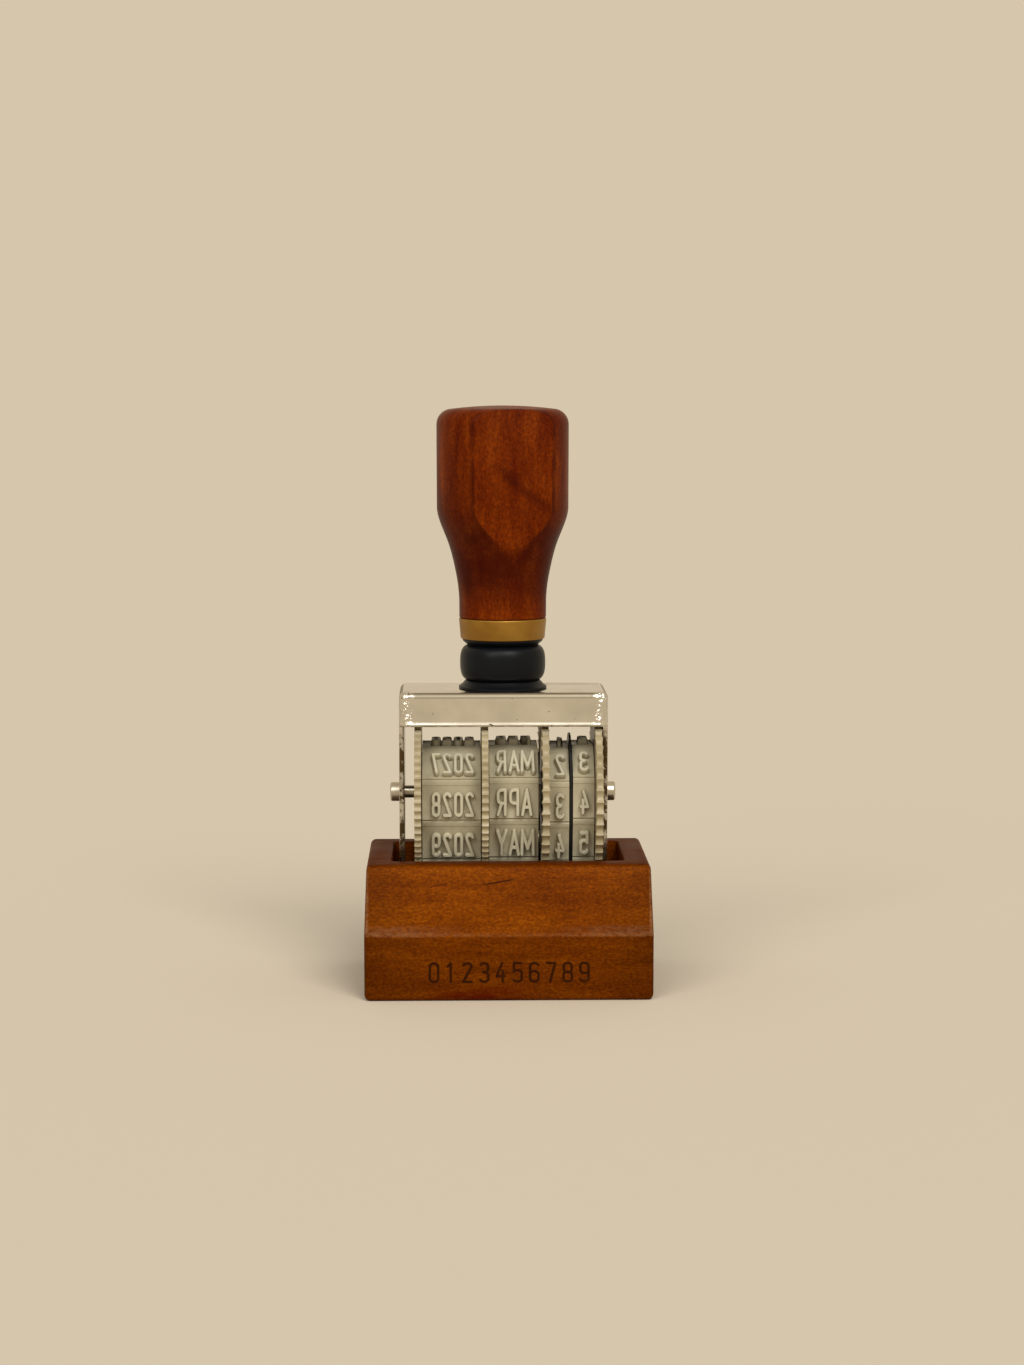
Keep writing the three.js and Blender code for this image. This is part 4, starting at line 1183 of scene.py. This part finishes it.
def band(node, panels):
    low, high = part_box(node)
    points = []
    for start, end in panels:
        along, outward = panel_axes(start, end)
        ledge = outward * LEDGE_STEP
        points += [start - outward * CREASE_DEPTH, start + along * CREASE_WIDTH / 2,
                   start + along * (LEDGE_PLACE - LEDGE_RUN), start + along * LEDGE_PLACE - ledge,
                   end - along * CREASE_WIDTH - ledge, end - along * CREASE_WIDTH / 2]
    select_nothing()
    width = high.x - low.x
    bpy.ops.mesh.primitive_plane_add(size=width, location=((low.x + high.x) / 2, width / 2, 0))
    made = bpy.context.object
    made.name = node + "_rubber"
    apply_place(made)
    select_in(made, "VERT", lambda vertex: vertex.co.y > width / 2)
    bpy.ops.mesh.delete(type="VERT")
    bpy.ops.mesh.select_all(action="SELECT")
    bpy.ops.transform.translate(value=(0, points[0].x, AXLE_Z + points[0].y))
    for here, there in zip(points, points[1:] + points[:1]):
        extrude_by(0, *(there - here))
    close_up(made)
    face = max(made.data.polygons, key=lambda polygon: polygon.center.z)
    if face.normal.z < 0:
        select_in(made, "FACE")
        bpy.ops.mesh.flip_normals()
    apply_modifier(made, "SOLIDIFY", thickness=BAND_THICKNESS, offset=-1, use_even_offset=False)
    break_edges(made, BAND_EDGE_ROUND, 40)
    smooth(made, 30)
    dress(made, rubber, "stamp", "grey_rubber", node)

# %% [markdown]
# ## Raised figures
#
# Each panel carries its figures in relief, mirrored, because they print the right way round only if
# they stand the wrong way round here. The section of the strokes is wide at the root and narrow at
# the printing edge, as rubber leaves its mould. Each figure is laid on its panel by a matrix that
# is built from the panel's own axes. Every point keeps how far it has risen from the root, and the
# finish reads that to paint shade at the roots.

# %% Finish of the type
RISE = "rise"
risen = add(painted_light_type_rubber.tree, "Attribute", {}, "Fac", attribute_name=RISE)
# Painted shade: the figures darken towards their roots.
root_painted_shade = risen.ramp((0.12, (0.56, 0.52, 0.46, 1)), (0.6, (0.88, 0.86, 0.82, 1)), (0.95, WHITE))
painted_light_type_rubber.set({"Base Color": painted_light_type_rubber.base.tinted(1.0, root_painted_shade)})
print("type finish has", len(painted_light_type_rubber.tree.nodes), "nodes")

# %% Figures on one band
TYPE_RELIEF = 0.9 * MM
TYPE_ROOT = 0.15 * MM
TYPE_DEPTH = TYPE_RELIEF + TYPE_ROOT
TYPE_SECTION = [(0.39 * MM, 0), (0.33 * MM, 0.3 * MM), (0.25 * MM, 0.92 * MM), (0.17 * MM, TYPE_DEPTH)]


def set_type(node, texts, panels, width, height, pitch, drop, aside):
    """Raised mirrored figures on every panel of a band, set below its middle by drop, and aside."""
    low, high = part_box(node)
    drawn = draw_figures("".join(texts), width, height, TYPE_SECTION)
    for figure in drawn.values():
        rise = figure.data.attributes.new(RISE, "FLOAT", "POINT")
        for vertex, value in zip(figure.data.vertices, rise.data):
            value.value = vertex.co.z / TYPE_DEPTH
    places = []
    for (start, end), text in zip(panels, texts):
        along, out = panel_axes(start, end)
        centre = (start + end) / 2 - out * TYPE_ROOT + along * drop
        for index, sign in enumerate(text):
            across = (low.x + high.x) / 2 + aside + ((len(text) - 1) / 2 - index) * pitch
            place = Vector((across, centre.x, AXLE_Z + centre.y))
            turned = Matrix(((-1, 0, 0), (0, -along.x, out.x), (0, -along.y, out.y))).to_4x4()
            places.append((sign, Matrix.Translation(place) @ turned))
    dress(set_figures(node + "_figures", drawn, places), painted_light_type_rubber, "stamp", "grey_rubber")

# %% Years, months and days
FRONT_YEAR = 2028
PANELS_ABOVE = 2
panel_count = len(band_panels(0))
years = [str(FRONT_YEAR + (step + PANELS_ABOVE) % panel_count - PANELS_ABOVE) for step in range(panel_count)]
months = "APR MAY JUN JUL AUG SEP OCT NOV DEC JAN FEB MAR".split()
tens = [figure.strip() for figure in "34567890  12"]
units = [figure.strip() for figure in "4567890  123"]
# Each row gives the slip along the route, then a figure's width, height and pitch, its drop and its shift.
bands = {
    "year_band": (years, 0.3, 0.98, 3.45, 1.78, 0.6, 0.22),
    "month_band": (months, 0.05, 1.35, 3.95, 1.98, 0.5, 0.05),
    "tens_band": (tens, 0.65, 1.05, 3.55, 0, 0.55, 0.1),
    "units_band": (units, 0.05, 1.1, 3.4, 0, 0.55, 0.08),
}
for node, (texts, slip, *sizes) in bands.items():
    panels = band_panels(slip * MM)
    band(node, panels)
    set_type(node, texts, panels, *(size * MM for size in sizes))
print("front row", years[0], months[0], tens[0] + units[0])

# %% [markdown]
# ## The pieces that keep their solids
#
# The drums, the platen, the divider, the screw and its washer are half hidden, and their plain
# solids already have the right shape. They only need their finishes.

# %% Finishes for kept solids
kept = {"platen": steel, "handle_screw": steel, "screw_washer": steel, "day_divider": dark_steel}
kept.update({dial + "_drum": nylon for dial in ("year", "month", "tens", "units")})
for node, finish in kept.items():
    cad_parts[node].material_slots[0].material = finish.material
print("finished", len(kept), "solids as they are")

# %% [markdown]
# ## Floor and light
#
# The object stands on a wide, pale, warm sheet. Sky and floor have one colour, and the light is
# shared out so that it adds up to one on a level surface. Then a colour renders about as it is
# written, the floor meets the sky without a line, and only the soft shadow shows. Suns are used
# instead of lamps because they light a floor evenly however wide it is. The strong one stands at
# the upper right and throws the shadow to the left. A weaker one high in front brightens what faces
# up, and one at the left fills the shadow sides.

# %% Floor
FLOOR_REACH = 30
BACKGROUND = colour(214, 198, 172)

select_nothing()
bpy.ops.mesh.primitive_circle_add(vertices=ROUND, radius=FLOOR_REACH, fill_type="NGON", location=(0, 0, 0))
floor = bpy.context.object
floor.name = "floor"
paper = Finish("warm_paper")
paper.set({"Base Color": BACKGROUND, "Roughness": 1.0, "Specular IOR Level": 0.0})
floor.data.materials.append(paper.material)

# %% Suns
SKY_SHARE = 0.4
MAIN_SHARE = 0.32
TOP_SHARE = 0.1
FILL_SHARE = 1 - SKY_SHARE - MAIN_SHARE - TOP_SHARE


def sun(name, toward, share, spread):
    """A sun that gives its share of the light on a level surface. Toward points from the object to it."""
    toward = Vector(toward).normalized()
    select_nothing()
    bpy.ops.object.light_add(type="SUN", rotation=toward.to_track_quat("Z", "Y").to_euler())
    made = bpy.context.object
    made.name = name
    made.data.energy = share * math.pi / toward.z
    made.data.angle = math.radians(spread)
    print(name, "strength", round(made.data.energy, 2))


sun("main_sun", (0.3, -0.66, 0.68), MAIN_SHARE, 26)
sun("top_sun", (0.02, -0.7, 0.71), TOP_SHARE, 30)
sun("fill_sun", (-0.42, -0.7, 0.58), FILL_SHARE, 30)

# %% Sky
world = bpy.data.worlds.new("studio")
bpy.context.scene.world = world
world.use_nodes = True
tree = world.node_tree
light = tree.nodes["Background"]
fill(light.inputs["Color"], WHITE)
fill(light.inputs["Strength"], SKY_SHARE)
seen = add(tree, "Background", {"Color": BACKGROUND, "Strength": 1.0})
direct = add(tree, "LightPath", {}, "Is Camera Ray")
for ray in ("Is Glossy Ray", "Is Transmission Ray"):
    direct = direct.at_least(add(tree, "LightPath", {}, ray))
choice = add(tree, "MixShader", {0: direct, 1: Output(tree, light.outputs[0]), 2: seen})
fill(tree.nodes["World Output"].inputs["Surface"], choice)
bpy.context.scene.view_settings.view_transform = "Standard"
